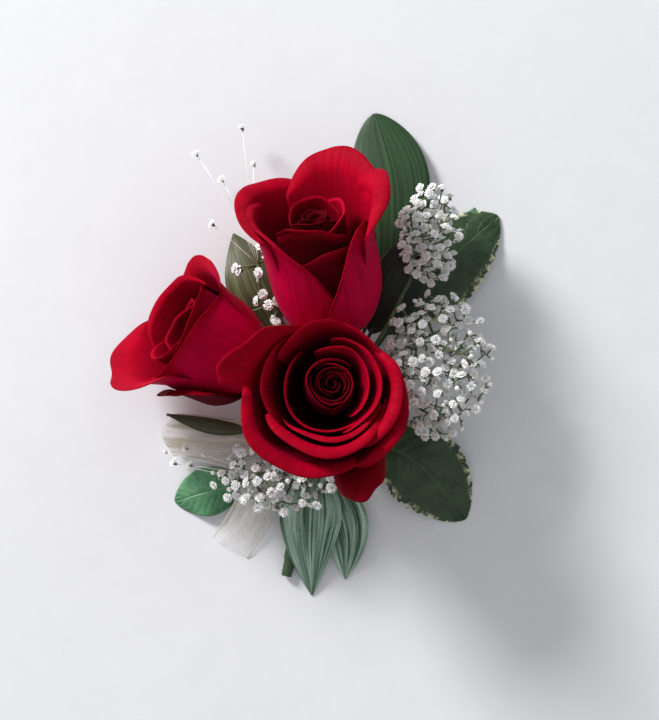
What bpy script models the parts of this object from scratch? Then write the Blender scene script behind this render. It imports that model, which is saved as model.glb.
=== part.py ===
"""A corsage of three red roses with baby's breath, mixed leaves and a sheer ribbon, bound with floral tape.

It lies on its back: +Z points away from the surface, and +Y from the taped tail to the far rose.
The origin is on the flat back of the tape binding. Sizes are in millimetres until solid() gives
Blender its metres, and angles are in degrees.
"""

import math
import random

import bmesh
import bpy
import numpy as np
from mathutils import Matrix, Vector
from mathutils.bvhtree import BVHTree

MM = 0.001
GAP = 0.3
BLADE = 0.65
REST_REACH = 2.0
CREASE_DEG = 40

# The binding: its line from head to tail, with its half width and half height at each point.
BINDING_LINE = [(2.0, 9.0, 3.3), (0.0, 0.0, 3.2), (-1.6, -12.0, 2.8), (-3.4, -27.0, 2.2), (-6.6, -42.5, 1.5)]
BINDING_HALF_WIDTHS = [5.6, 5.2, 4.0, 2.6, 1.6]
BINDING_SQUASH = 0.76

# Blooms, in units of a rose of middling size.
HIP_RADIUS = 4.8
HIP_HEIGHT = 7.5
STEM_RADIUS = 1.7

# Petals: shares of the wall and of the width at which they are built, how far the rim moves inwards
# from one side to the other, and the lips below and above which the roll takes one step or three.
PETAL_ROWS = (0.0, 0.25, 0.58, 1.0)
PETAL_COLUMNS = (-1.0, -0.64, -0.22, 0.22, 0.64, 1.0)
RIM_RAMP = -0.35
SHORT_LIP = 1.6
LONG_LIP = 6.0

# Petals with a smaller rim than this are left to the core.
INNER_RIM = 7.0

# Each rose: where its petals are rooted and which way it faces.
# open_side: the direction round the rose in which its outer petals lean, and by how much.
# heart: number of small petals in the heart, which scene.py shows and the core stands for, and the
# heart's radius and height.
# petals: direction round the rose, radius and height of the rim, half of the angle that the petal
# spans, how far the rim flares, length and turn of the rolled lip, how far the sides drop, and where
# between the sides the petal reaches furthest.
ROSES = {
    "rose_centre": {
        "foot": (6.0, 13.0, 18.0), "heading": 69.0, "lift": 80.0, "open_side": (251.0, 5.5),
        "heart": (10, 7.6, 27.5),
        "petals": [
            (50, 8.8, 30.5, 88, 0.26, 0.8, 40, 0.10, 0.0), (28, 11.4, 31.8, 82, 0.26, 1.2, 40, 0.08, 0.0),
            (251, 12.7, 28.5, 105, 0.00, 1.2, 60, 0.08, 0.0), (300, 14.5, 29.5, 66, 0.00, 2.8, 90, 0.14, 0.2),
            (101, 14.2, 31.5, 70, 0.32, 1.2, 40, 0.12, 0.0), (190, 15.4, 29.0, 56, 0.22, 1.3, 50, 0.12, 0.0),
            (299, 16.3, 30.5, 76, 0.02, 5.2, 105, 0.12, -0.1), (14, 16.4, 31.0, 56, 0.15, 5.0, 100, 0.15, 0.0),
            (249, 19.9, 29.0, 68, 0.04, 6.4, 100, 0.15, 0.1), (4, 20.8, 28.0, 52, 0.06, 5.4, 120, 0.25, 0.0),
            (158, 16.4, 29.0, 40, 0.46, 11.5, 40, 0.10, 0.8), (320, 20.8, 19.5, 22, 0.12, 10.5, 100, 0.20, 0.0),
        ],
        "sepals": [(25, 15), (10, 7), (10, 7), (45, 14), (22, 22)],
        "stem": [(4.4, 9.2, 8.2), (2.4, 5.0, 6.4), (1.6, 3.0, 4.0)],
    },
    "rose_top": {
        "foot": (7.2, 31.5, 14.5), "heading": 98.5, "lift": 31.0, "open_side": (0.0, 0.0),
        "heart": (8, 4.8, 41.5),
        "petals": [
            (262, 6.6, 42.0, 100, 0.00, 1.0, 50, 0.08, 0.0), (110, 7.6, 43.0, 95, 0.00, 1.0, 50, 0.10, 0.0),
            (5, 8.8, 42.5, 85, 0.02, 1.4, 70, 0.12, 0.0), (250, 10.2, 41.0, 80, 0.00, 2.0, 85, 0.12, 0.0),
            (52, 12.6, 46.0, 64, 0.40, 8.5, 55, 0.10, 0.0), (285, 12.2, 34.0, 75, 0.00, 1.0, 50, 0.25, 0.0),
            (146, 14.4, 43.5, 72, 0.36, 5.5, 80, 0.10, 0.1), (8, 15.4, 45.0, 50, 0.14, 8.5, 110, 0.15, 0.0),
            (214, 15.4, 42.5, 70, 0.14, 3.5, 95, 0.52, -0.5), (325, 17.8, 39.0, 58, -0.14, 1.8, 80, 0.52, 0.1),
        ],
        "sepals": [(15, 12), (0, 6), (10, 8), (50, 5), (10, 7)],
        "stem": [(7.0, 18.5, 6.0), (3.0, 13.0, 3.6), (1.2, 9.0, 3.0), (0.8, 5.0, 3.0)],
    },
    "rose_left": {
        "foot": (-15.0, 21.5, 15.0), "heading": 152.0, "lift": 24.0, "open_side": (0.0, 0.0),
        "heart": (6, 4.2, 26.0),
        "petals": [
            (268, 6.4, 27.0, 100, 0.00, 1.0, 50, 0.08, 0.0), (100, 7.4, 28.0, 100, 0.00, 1.0, 50, 0.08, 0.0),
            (330, 9.4, 29.5, 90, 0.00, 1.2, 60, 0.12, 0.0), (200, 11.2, 31.0, 85, 0.02, 1.4, 60, 0.14, 0.0),
            (290, 12.6, 31.0, 90, 0.02, 2.0, 80, 0.14, 0.0), (62, 13.6, 32.0, 68, 0.08, 2.6, 70, 0.12, 0.0),
            (160, 14.4, 32.0, 62, 0.36, 8.5, 50, 0.06, 0.0), (20, 14.2, 27.5, 58, 0.28, 6.0, 55, 0.06, -0.2),
            (258, 15.4, 29.5, 88, 0.02, 2.2, 70, 0.16, -0.2), (192, 16.8, 21.0, 36, 0.08, 6.0, 70, 0.25, 0.0),
        ],
        "sepals": [(15, 8), (0, 6), (10, 12), (30, 5), (10, 5)],
        "stem": [(-5.4, 14.6, 8.0), (-3.2, 10.9, 5.9), (-1.8, 6.0, 4.6)],
    },
}

# Leaves: a line from where the petiole leaves the binding to the tip, which of its points is the
# base of the blade, the widest half width, the outline, and how far the margins fall below the rib.
LEAVES = {
    "leaf_top": (
        [(4.0, 7.0, 1.8), (9.0, 18.0, 1.8), (20.0, 38.0, 2.6), (25.0, 55.0, 4.0), (25.5, 78.0, 4.2), (20.5, 100.0, 1.0)],
        2, 12.0, "broad", 0.16,
    ),
    "leaf_right": (
        [(3.0, 4.0, 4.4), (11.0, 14.0, 4.4), (24.0, 32.0, 6.0), (38.0, 50.0, 8.5), (58.5, 68.5, 2.5)],
        2, 13.0, "toothed", 0.12,
    ),
    "leaf_behind": (
        [(3.0, 2.0, 2.0), (17.0, 15.0, 1.6), (37.0, 40.0, 1.8), (46.5, 56.0, 1.8), (51.5, 71.0, 1.2)],
        2, 8.0, "lance", 0.05,
    ),
    "leaf_inner": (
        [(2.5, 5.5, 4.9), (12.0, 20.0, 6.4), (19.0, 32.0, 8.8), (28.5, 50.0, 12.5), (36.0, 66.0, 10.0)],
        2, 8.0, "lance", 0.15,
    ),
    "leaf_low_right": (
        [(1.0, -3.0, 3.0), (10.0, -4.0, 3.4), (19.0, -1.0, 5.5), (34.0, -8.0, 7.0), (48.5, -25.0, 1.5)],
        2, 12.5, "toothed", 0.12,
    ),
    "leaf_bottom": (
        [(0.0, -3.0, 5.5), (1.5, -9.0, 8.4), (1.0, -20.0, 8.6), (0.6, -32.0, 7.4), (1.2, -48.5, 0.9)],
        1, 9.5, "lance", 0.18,
    ),
    "leaf_bottom_back": (
        [(0.0, -10.0, 3.0), (7.0, -13.0, 3.2), (10.0, -22.0, 4.2), (12.0, -32.0, 4.0), (11.5, -43.5, 0.8)],
        1, 7.5, "lance", 0.10,
    ),
    "leaf_low_left": (
        [(-1.0, -12.0, 1.6), (-10.0, -13.5, 1.3), (-20.0, -14.0, 2.2), (-31.0, -16.5, 3.6), (-41.0, -19.5, 1.0)],
        2, 7.5, "oval", 0.10,
    ),
    "leaf_thin": (
        [(-2.0, 1.0, 6.0), (-9.0, 2.0, 9.5), (-18.0, 2.5, 11.5), (-30.0, 4.0, 12.5), (-43.0, 7.5, 12.0)],
        2, 2.4, "lance", 0.25,
    ),
    "leaf_high_left": (
        [(0.0, 7.0, 2.4), (-5.0, 20.0, 2.4), (-10.0, 33.0, 4.0), (-17.0, 48.0, 6.0), (-23.0, 63.0, 1.0)],
        2, 8.5, "lance", 0.12,
    ),
}

# Sprays of baby's breath: the stem's line, then the clouds its florets fill (centre, radii, number).
SPRAYS = {
    "breath_right": (
        [(2.0, 2.0, 4.0), (9.0, 3.0, 5.2), (20.0, 8.0, 7.5), (31.0, 17.0, 13.0)],
        [((38.0, 22.0, 22.0), (17.0, 22.0, 9.0), 72)],
    ),
    "breath_top_right": (
        [(2.8, 4.6, 5.0), (10.6, 13.7, 7.6), (22.0, 31.0, 14.0), (31.0, 48.0, 16.5)],
        [((36.0, 61.0, 19.0), (10.0, 15.0, 9.0), 46)],
    ),
    "breath_low_left": (
        [(-1.0, -5.0, 4.0), (-4.0, -7.0, 8.0), (-9.0, -9.0, 11.5), (-15.0, -11.0, 12.5)],
        [((-9.0, -10.0, 15.0), (19.0, 12.0, 7.0), 58)],
    ),
    "breath_high_left": (
        [
            (0.1, 8.0, 5.0), (0.1, 14.0, 6.5), (-3.0, 26.0, 8.0), (-8.0, 36.0, 11.0), (-12.0, 44.0, 13.0),
            (-15.0, 53.0, 15.0),
        ],
        [
            ((-15.0, 44.0, 17.0), (8.0, 15.0, 7.0), 13), ((-28.4, 64.9, 17.0), (1.0, 1.0, 1.0), 1),
            ((-26.6, 78.7, 14.0), (1.0, 1.0, 1.0), 1), ((-16.4, 83.2, 12.0), (1.0, 1.0, 1.0), 1),
            ((-33.2, 86.5, 11.0), (1.0, 1.0, 1.0), 1), ((-19.6, 94.5, 9.0), (1.0, 1.0, 1.0), 1),
        ],
    ),
}
FLORET_RADIUS = 1.9
FLORET_SPACING = 3.8
SPRAY_STEM_RADIUS = 0.7
BRANCH_RADIUS = 0.5
TWIG_RADIUS = 0.42
TWIG_SPACING = 1.5
CLEARANCE = 0.15

# A cloud of this many florets or fewer has single long twigs.
LOOSE = 30

# The ribbon: its width, its gathered width at the binding, and the lines of its loop and its tail.
RIBBON_WIDTH = 13.0
RIBBON_GATHER = 4.5
RIBBONS = {
    "ribbon_loop": (
        [
            (-3.0, -1.5, 4.6), (-10.0, -2.0, 7.5), (-22.0, -0.5, 9.0), (-35.0, 1.0, 9.0), (-43.0, 1.5, 7.0),
            (-43.5, 1.5, 3.6), (-36.0, 0.6, 1.8), (-22.0, -1.4, 1.3), (-10.0, -3.0, 1.3), (-3.0, -4.0, 1.4),
        ],
        True,
    ),
    "ribbon_tail": (
        [(-2.0, -8.0, 4.0), (-9.5, -8.8, 6.1), (-14.0, -16.0, 5.5), (-18.2, -25.0, 3.1), (-24.0, -34.0, 1.2)],
        False,
    ),
}


def smooth(x):
    """0 below 0, 1 above 1, and an even step between."""
    x = min(max(x, 0.0), 1.0)
    return x * x * (3.0 - 2.0 * x)


def mix(low, high, share):
    return low + (high - low) * share


# Building closed meshes.


def material(name, colour, roughness):
    """A Principled BSDF material with one colour."""
    made = bpy.data.materials.new(name)
    made.use_nodes = True
    shader = made.node_tree.nodes["Principled BSDF"]
    shader.inputs["Base Color"].default_value = (*colour, 1.0)
    shader.inputs["Roughness"].default_value = roughness
    shader.inputs["Metallic"].default_value = 0.0
    return made


def solid(name, shape, finish, parent=None):
    """An object from a shape (points in millimetres, triangles)."""
    points, faces = shape
    mesh = bpy.data.meshes.new(name)
    mesh.from_pydata([tuple(float(c) * MM for c in p) for p in points], [], faces)
    mesh.materials.append(finish)
    mesh.update()
    made = bpy.data.objects.new(name, mesh)
    bpy.context.scene.collection.objects.link(made)
    made.parent = parent
    shade(made)
    return made


def fuse(name, shapes, finish, parent=None):
    """One object from shapes that run into each other, joined by a Boolean union."""
    whole = solid(name, shapes[0], finish, parent)
    group = bpy.data.collections.new(name + "_pieces")
    pieces = [solid(f"{name}_{i}", s, finish, parent) for i, s in enumerate(shapes[1:])]
    for piece in pieces:
        group.objects.link(piece)
    union = whole.modifiers.new("union", "BOOLEAN")
    union.operation = "UNION"
    union.operand_type = "COLLECTION"
    union.collection = group
    union.solver = "MANIFOLD"
    bake(whole)
    keep_outer_shell(whole)
    shade(whole)
    for piece in pieces:
        bpy.data.objects.remove(piece)
    bpy.data.collections.remove(group)
    return whole


def keep_outer_shell(obj):
    """Drops the walls of hollows that the union sealed, and loose scraps."""
    work = bmesh.new()
    work.from_mesh(obj.data)
    unseen = set(work.verts)
    shells = []
    while unseen:
        shell, edge = set(), [next(iter(unseen))]
        while edge:
            vertex = edge.pop()
            if vertex in shell:
                continue
            shell.add(vertex)
            edge += [e.other_vert(vertex) for e in vertex.link_edges]
        unseen -= shell
        shells.append(shell)
    largest = max(shells, key=len)
    bmesh.ops.delete(work, geom=[v for s in shells if s is not largest for v in s], context="VERTS")
    work.to_mesh(obj.data)
    work.free()


def bake(obj):
    """Applies an object's modifiers to its mesh."""
    bpy.context.view_layer.update()
    graph = bpy.context.evaluated_depsgraph_get()
    mesh = bpy.data.meshes.new_from_object(obj.evaluated_get(graph))
    obj.modifiers.clear()
    obj.data = mesh
    mesh.name = obj.name


def shade(obj):
    """Smooth shading, with creases where the surface turns sharply."""
    obj.data.shade_smooth()
    obj.data.set_sharp_from_angle(angle=math.radians(CREASE_DEG))


def surface_of(*objects):
    """A search tree of the objects' surfaces in millimetres."""
    bpy.context.view_layer.update()
    points, faces = [], []
    for obj in objects:
        first = len(points)
        points += [obj.matrix_world @ v.co / MM for v in obj.data.vertices]
        faces += [[first + i for i in p.vertices] for p in obj.data.polygons]
    return BVHTree.FromPolygons(points, faces)


def distance_to(tree, point):
    return tree.find_nearest(point)[3]


def blade(grid, thickness=BLADE):
    """A closed thin solid round a grid of points, split into triangles alike on both faces."""
    grid = np.asarray(grid, float)
    rows, columns = grid.shape[:2]
    along = np.gradient(grid, axis=0)
    across = np.gradient(grid, axis=1)
    normal = np.cross(across, along)
    normal /= np.maximum(np.linalg.norm(normal, axis=2, keepdims=True), 1e-9)
    front = (grid + normal * thickness / 2).reshape(-1, 3)
    reverse = (grid - normal * thickness / 2).reshape(-1, 3)
    back = rows * columns
    faces = []
    for i in range(rows - 1):
        for j in range(columns - 1):
            a, b = i * columns + j, i * columns + j + 1
            c, d = a + columns, b + columns
            faces += [(a, b, d), (a, d, c)]
            faces += [(back + a, back + d, back + b), (back + a, back + c, back + d)]
    rim = list(range(columns))
    rim += [i * columns + columns - 1 for i in range(1, rows)]
    rim += [(rows - 1) * columns + j for j in range(columns - 2, -1, -1)]
    rim += [i * columns for i in range(rows - 2, 0, -1)]
    for a, b in zip(rim, rim[1:] + rim[:1]):
        faces += [(a, back + a, back + b), (a, back + b, b)]
    return np.concatenate([front, reverse]), faces


def tube(line, radii, sides, squash=1.0, floor=None):
    """A closed tube along a line. squash flattens it, and floor keeps its points above that height."""
    line = [Vector(p) for p in line]
    radii = radii if hasattr(radii, "__len__") else [radii] * len(line)
    side = (line[1] - line[0]).cross(Vector((0, 0, 1)))
    side = side if side.length > 0.01 else Vector((1, 0, 0))
    points, faces = [], []
    for k, p in enumerate(line):
        ahead = (line[min(k + 1, len(line) - 1)] - line[max(k - 1, 0)]).normalized()
        side = (side - ahead * side.dot(ahead)).normalized()
        up = ahead.cross(side)
        for n in range(sides):
            turn = 2 * math.pi * n / sides
            spot = p + side * math.cos(turn) * radii[k] + up * math.sin(turn) * radii[k] * squash
            if floor is not None:
                spot.z = max(spot.z, floor)
            points.append(spot)
    for k in range(len(line) - 1):
        for n in range(sides):
            a, b = k * sides + n, k * sides + (n + 1) % sides
            faces += [(a, b, b + sides), (a, b + sides, a + sides)]
    last = (len(line) - 1) * sides
    for n in range(1, sides - 1):
        faces += [(0, n + 1, n), (last, last + n, last + n + 1)]
    return points, faces


def turned(profile, sides):
    """A solid turned round Z from (radius, height) points, bottom to top, that starts and ends on the axis."""
    points = [(0.0, 0.0, profile[0][1])]
    for radius, height in profile[1:-1]:
        for n in range(sides):
            turn = 2 * math.pi * n / sides
            points.append((radius * math.cos(turn), radius * math.sin(turn), height))
    points.append((0.0, 0.0, profile[-1][1]))
    rings = len(profile) - 2
    faces = []
    for n in range(sides):
        m = (n + 1) % sides
        faces.append((0, 1 + m, 1 + n))
        for k in range(rings - 1):
            a, b = 1 + k * sides + n, 1 + k * sides + m
            faces += [(a, b, b + sides), (a, b + sides, a + sides)]
        top = 1 + (rings - 1) * sides
        faces.append((top + n, top + m, len(points) - 1))
    return points, faces


def curve_through(points, count):
    """Evenly shared points of a smooth curve through the given ones."""
    points = [Vector(p) for p in points]
    ends = [points[0] * 2 - points[1], *points, points[-1] * 2 - points[-2]]
    made = []
    for n in range(count):
        share = n / (count - 1) * (len(points) - 1)
        k = min(int(share), len(points) - 2)
        t = share - k
        p0, p1, p2, p3 = ends[k : k + 4]
        bend = 2 * p0 - 5 * p1 + 4 * p2 - p3
        made.append(0.5 * (2 * p1 + (p2 - p0) * t + bend * t * t + (3 * p1 - p0 - 3 * p2 + p3) * t ** 3))
    return made


def inside(tree, point):
    """Whether a point is inside a closed surface: a ray from it leaves through an odd number of faces."""
    ray = Vector((0.31, 0.17, 0.94)).normalized()
    crossings = 0
    hit = tree.ray_cast(point, ray)[0]
    while hit is not None:
        crossings += 1
        hit = tree.ray_cast(hit + ray * 0.01, ray)[0]
    return crossings % 2 == 1


def clear_around(tree, spot, ahead, radius):
    """Whether a ring round a spot lies outside a surface with room to spare."""
    side = ahead.orthogonal().normalized()
    up = ahead.cross(side)
    for n in range(10):
        turn = 2 * math.pi * n / 10
        rim = spot + (side * math.cos(turn) + up * math.sin(turn)) * radius
        if distance_to(tree, rim) < GAP + 0.05 or inside(tree, rim):
            return False
    return True


def start_clear_of(tree, line, radius):
    """Cuts the start of a line so that a tube along it ends one gap short of a surface."""
    line = [Vector(p) for p in line]
    steps = 40
    for k in range(len(line) - 2, -1, -1):
        ahead = (line[k + 1] - line[k]).normalized()
        last = line[k + 1]
        for n in range(1, steps + 1):
            spot = line[k + 1].lerp(line[k], n / steps)
            if not clear_around(tree, spot, ahead, radius):
                return [last] + line[k + 1 if last != line[k + 1] else k + 2 :]
            last = spot
    return line


# Roses.


def petal_line(radius, height, flare, lip, roll, crown, steps):
    """(r, z) points of a petal from its root up its wall, cut at a share of the wall, then round its lip."""
    wall = curve_through([
        (1.2 + 0.10 * radius, 0.0, 0.8), (1.0 + 0.60 * radius, 0.0, 0.12 * height),
        (0.95 * radius, 0.0, 0.36 * height), (radius * (1.02 + 0.15 * flare), 0.0, 0.66 * height),
        (radius * (1.0 + flare), 0.0, height),
    ], 17)
    wall = np.array(wall)[:, (0, 2)]
    marks = np.r_[0.0, np.cumsum(np.linalg.norm(np.diff(wall, axis=0), axis=1))]
    at = np.array(PETAL_ROWS) * marks[-1] * crown
    line = np.c_[np.interp(at, marks, wall[:, 0]), np.interp(at, marks, wall[:, 1])]
    step = line[-1] - line[-2]
    lean = math.atan2(step[0], step[1]) + np.radians(roll) * (np.arange(steps) + 0.5) / steps
    rolled = np.cumsum(np.c_[np.sin(lean), np.cos(lean)], axis=0) * lip / steps
    return np.concatenate([line, line[-1] + rolled])


def petal_grid(rose, direction, radius, height, spread, flare, lip, roll, drop, shift):
    """The middle surface of one petal, from its root to its rolled margin.

    Walls of a smaller rim lie inside those of a larger one, so petals stay clear of each other."""
    lean_to, lean_by = rose["open_side"]
    lean_to = math.radians(lean_to)
    steps = 3 if lip > LONG_LIP else 1 if lip < SHORT_LIP else 2
    columns = []
    for t in PETAL_COLUMNS:
        away = abs(t - shift) / (1.0 + abs(shift))
        taper = (0.45 + 0.5 * abs(shift)) * away ** (1.3 - 0.4 * abs(shift))
        line = petal_line(
            radius + RIM_RAMP * t, height, flare * (1.0 - abs(shift) * away), lip * (1.0 - taper),
            roll * (0.88 + 0.30 * away * away), 1.0 - drop * away ** 2.2, steps,
        )
        column = []
        for r, z in line:
            rise = min(z / height, 1.2)
            r += 0.05 * radius * smooth((abs(t) - 0.6) / 0.4) * smooth((rise - 0.3) / 0.5)
            angle = math.radians(direction) + t * math.radians(spread) * (0.78 + 0.22 * smooth(rise / 0.5))
            lean = lean_by * min(radius / 20.0, 1.1) ** 2 * smooth(rise) * rise
            x = r * math.cos(angle) + lean * math.cos(lean_to)
            y = r * math.sin(angle) + lean * math.sin(lean_to)
            column.append((x, y, z))
        columns.append(column)
    return np.array(columns).transpose(1, 0, 2)


def place_of(name, rose):
    """An empty at the rose's foot whose Z axis is the rose's own."""
    heading, lift = math.radians(rose["heading"]), math.radians(rose["lift"])
    axis = Vector((math.cos(lift) * math.cos(heading), math.cos(lift) * math.sin(heading), math.sin(lift)))
    side = Vector((math.sin(heading), -math.cos(heading), 0.0))
    turn = Matrix((side, axis.cross(side), axis)).transposed()
    empty = bpy.data.objects.new(name + "_place", None)
    bpy.context.scene.collection.objects.link(empty)
    empty.location = Vector(rose["foot"]) * MM
    empty.rotation_mode = "QUATERNION"
    empty.rotation_quaternion = turn.to_quaternion()
    bpy.context.view_layer.update()
    return empty


def bloom(name, rose, place, finish):
    """The petals round a core that fills the heart of the bloom."""
    rim, height = rose["heart"][1:]
    core = [
        (0.0, 0.0), (3.8, 0.0), (0.95 * rim, 0.2 * height), (1.05 * rim, 0.5 * height),
        (0.95 * rim, 0.88 * height), (0.55 * rim, height), (0.0, height),
    ]
    shapes = [turned(core, 8)]
    shapes += [blade(petal_grid(rose, *petal)) for petal in rose["petals"] if petal[1] > INNER_RIM]
    return fuse(name, shapes, finish, place)


def sepal_grid(direction, droop, length):
    """The middle surface of one sepal, from under the hip's rim out and down to its point."""
    shares = (0.0, 0.3, 0.7, 1.0)
    slim = (length / 22.0) ** 0.5
    widths = [w * slim for w in (2.1, 2.7, 1.5, 0.4)]
    grid = np.zeros((len(shares), 3, 3))
    out = Vector((math.cos(math.radians(direction)), math.sin(math.radians(direction)), 0.0))
    side = Vector((-out.y, out.x, 0.0))
    radius, height, last = HIP_RADIUS - 1.4, -1.6, 0.0
    for i, share in enumerate(shares):
        lean = math.radians(92.0 + droop * share)
        radius += math.sin(lean) * length * (share - last)
        height += math.cos(lean) * length * (share - last)
        last = share
        for j, t in enumerate((-1.0, 0.0, 1.0)):
            grid[i, j] = out * radius + side * t * widths[i] + Vector((0, 0, height - 0.35 * t * t * widths[i]))
    return grid


def calyx(name, rose, place, binding_surface, finish):
    """The green hip under the petals, its five sepals, and the stem down to the binding."""
    foot = -GAP - HIP_HEIGHT
    hip = [
        (0.0, foot), (2.1, foot), (3.6, foot + 1.9), (4.6, foot + 4.1),
        (HIP_RADIUS, foot + 6.3), (4.0, -GAP), (0.0, -GAP),
    ]
    shapes = [turned(hip, 8)]
    for n, (droop, length) in enumerate(rose["sepals"]):
        shapes.append(blade(sepal_grid(36.0 + 72.0 * n, droop, length)))
    to_place = place.matrix_world.inverted()
    line = [to_place @ (Vector(p) * MM) / MM for p in rose["stem"]]
    line = curve_through([(0, 0, foot + 1.5), (0, 0, foot - 1.0)] + line, 9)
    to_world = [place.matrix_world @ (p * MM) / MM for p in line]
    cut = start_clear_of(binding_surface, to_world[::-1], STEM_RADIUS)[::-1]
    shapes.append(tube([to_place @ (p * MM) / MM for p in cut], STEM_RADIUS, 7))
    return fuse(name, shapes, finish, place)


# Leaves.


def leaf_outline(kind, share):
    """Half width of a leaf, as a share of the widest, from base 0 to tip 1."""
    if kind == "lance":
        return math.sin(math.pi * share ** 0.85) ** 0.85
    if kind == "oval":
        return math.sin(math.pi * share ** 0.95) ** 0.62
    if kind == "broad":
        return math.sin(math.pi * share ** 1.75) ** 0.62
    return math.sin(math.pi * share ** 1.12) ** 0.62


def leaf_grid(line, half_width, kind, fall):
    """The middle surface of a leaf along its rib."""
    rows = 11 if kind == "toothed" else 8
    rib = curve_through(line, rows)
    columns = (-1.0, -0.55, 0.0, 0.55, 1.0)
    grid = np.zeros((rows, len(columns), 3))
    for i, p in enumerate(rib):
        share = i / (rows - 1)
        ahead = (rib[min(i + 1, rows - 1)] - rib[max(i - 1, 0)]).normalized()
        side = ahead.cross(Vector((0, 0, 1))).normalized()
        up = side.cross(ahead)
        width = max(half_width * leaf_outline(kind, share), 0.5)
        if kind == "toothed" and 0 < i < rows - 1:
            width *= 1.0 + 0.05 * (-1) ** i
        for j, t in enumerate(columns):
            wave = 0.05 * width * math.sin(7.0 * share + 2.0 * t) * abs(t)
            grid[i, j] = p + side * t * width + up * (wave - fall * t * t * width)
    return grid


def leaf(name, line, base, half_width, kind, fall, binding_surface, finish):
    """A leaf blade on its petiole, which ends at the binding."""
    petiole_radius = 0.75
    grid = leaf_grid(line[base:], half_width, kind, fall)
    low = grid[:, :, 2].min() - BLADE / 2
    if low < REST_REACH:
        grid[:, :, 2] -= low
    stalk = curve_through(line[: base + 1], 4)
    stalk = start_clear_of(binding_surface, stalk, petiole_radius)
    stalk.append(stalk[-1].lerp(Vector(line[base + 1]), 0.25))
    return fuse(name, [blade(grid), tube(stalk, petiole_radius, 4)], finish)


# Baby's breath.


def floret(centre, facing):
    """A small head: a cone of sepals under a shallow dome of petals, five-sided."""
    facing = facing.normalized()
    side = facing.orthogonal().normalized()
    up = facing.cross(side)
    points = [centre - facing * 1.5]
    for n in range(5):
        turn = 2 * math.pi * n / 5
        points.append(centre + (side * math.cos(turn) + up * math.sin(turn)) * FLORET_RADIUS + facing * 0.3)
    points.append(centre + facing * 1.1)
    faces = []
    for n in range(5):
        m = (n + 1) % 5
        faces += [(0, 1 + m, 1 + n), (6, 1 + n, 1 + m)]
    return points, faces


def cloud_points(draw, centre, radii, number):
    """Places drawn inside an ellipsoid that keep their spacing, more of them on its upper half."""
    places = []
    for _ in range(number * 60):
        p = Vector((draw.uniform(-1, 1), draw.uniform(-1, 1), draw.uniform(-0.8, 1)))
        if p.length > 1 or len(places) == number:
            continue
        spot = Vector((centre[0] + p.x * radii[0], centre[1] + p.y * radii[1], centre[2] + p.z * radii[2]))
        if all((spot - q).length > FLORET_SPACING for q in places):
            places.append(spot)
    return places


def clear_path(tree, start, end, room):
    """Whether a straight twig keeps its room to every finished surface."""
    steps = max(int((end - start).length / 0.8), 2)
    return all(distance_to(tree, start.lerp(end, n / steps)) > room for n in range(steps + 1))


def clear_of_spray(grown, start, end, radius, parent):
    """Whether a new twig keeps clear of the spray's other twigs and florets (start, end, radius, branch)."""
    others = [g for g in grown if g[3] != parent]
    if not others:
        return True
    starts = np.array([g[0] for g in others])
    spans = np.array([g[1] for g in others]) - starts
    rooms = np.array([g[2] for g in others]) + radius + CLEARANCE
    lengths = np.maximum((spans ** 2).sum(1), 1e-9)
    steps = max(int((end - start).length / 0.5), 2)
    for n in range(steps + 1):
        spot = np.array(start.lerp(end, n / steps))
        share = np.clip(((spot - starts) * spans).sum(1) / lengths, 0, 1)
        if (np.linalg.norm(starts + spans * share[:, None] - spot, axis=1) < rooms).any():
            return False
    return True


def buds_along(line, parent):
    """Places along a branch where twigs can leave it, too far apart to run into each other."""
    places = []
    for start, end in zip(line, line[1:]):
        count = max(int((end - start).length / TWIG_SPACING), 1)
        places += [(start.lerp(end, (n + 0.5) / count), end - start, parent) for n in range(count)]
    return places


def grow(buds, grown, others, end, radius, head):
    """A twig from the nearest bud that reaches a place with nothing in its way, or None."""
    if head and distance_to(others, end) < FLORET_RADIUS + GAP + 0.1:
        return None
    for bud in sorted(buds, key=lambda b: (b[0] - end).length)[:7]:
        root, ahead, parent = bud
        if (end - root).length < 1.5 or (end - root).angle(ahead) < math.radians(22):
            continue
        if not clear_path(others, root, end, radius + GAP + 0.1):
            continue
        if head and not clear_of_spray(grown, end, end + Vector((0, 0, 0.1)), FLORET_RADIUS, None):
            continue
        if clear_of_spray(grown, root, end, radius, parent):
            buds.remove(bud)
            return root
    return None


def spray(name, stem, clouds, binding_surface, others, finish):
    """A stem with branches, twigs and florets. What would touch another piece isn't grown."""
    draw = random.Random(name)
    line = start_clear_of(binding_surface, curve_through(stem, 7), SPRAY_STEM_RADIUS)
    shapes = [tube(line, SPRAY_STEM_RADIUS, 4)]
    grown = [(a, b, SPRAY_STEM_RADIUS, "stem") for a, b in zip(line, line[1:])]
    forks = buds_along(line, "stem")[3:]
    for centre, radii, number in clouds:
        places = cloud_points(draw, centre, radii, number)
        places.sort(key=lambda p: (p - line[-1]).length)
        hubs = places[:: max(number // 10, 1)] if number > LOOSE else places
        buds = []
        for n, hub in enumerate(hubs):
            root = grow(forks, grown, others, hub, BRANCH_RADIUS, True)
            if root is None:
                continue
            branch = f"{centre} {n}"
            shapes += [tube([root, hub], BRANCH_RADIUS, 3), floret(hub, hub - root + Vector((0, 0, 4)))]
            grown += [(root, hub, BRANCH_RADIUS, branch), (hub, hub, FLORET_RADIUS, branch + " head")]
            buds += buds_along([root, hub], branch)[1:-1]
            forks += buds_along([root, hub], branch)[1:-1:2] if n < 3 else []
        for n, spot in enumerate(places):
            if spot in hubs:
                continue
            root = grow(buds, grown, others, spot, TWIG_RADIUS, True)
            if root is None:
                continue
            twig = f"{centre} twig {n}"
            shapes += [tube([root, spot], TWIG_RADIUS, 3), floret(spot, spot - root + Vector((0, 0, 4)))]
            grown += [(root, spot, TWIG_RADIUS, twig), (spot, spot, FLORET_RADIUS, twig)]
            buds += buds_along([root, spot], twig)[1:-2]
    return fuse(name, shapes, finish)


# The ribbon and the binding.


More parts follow.
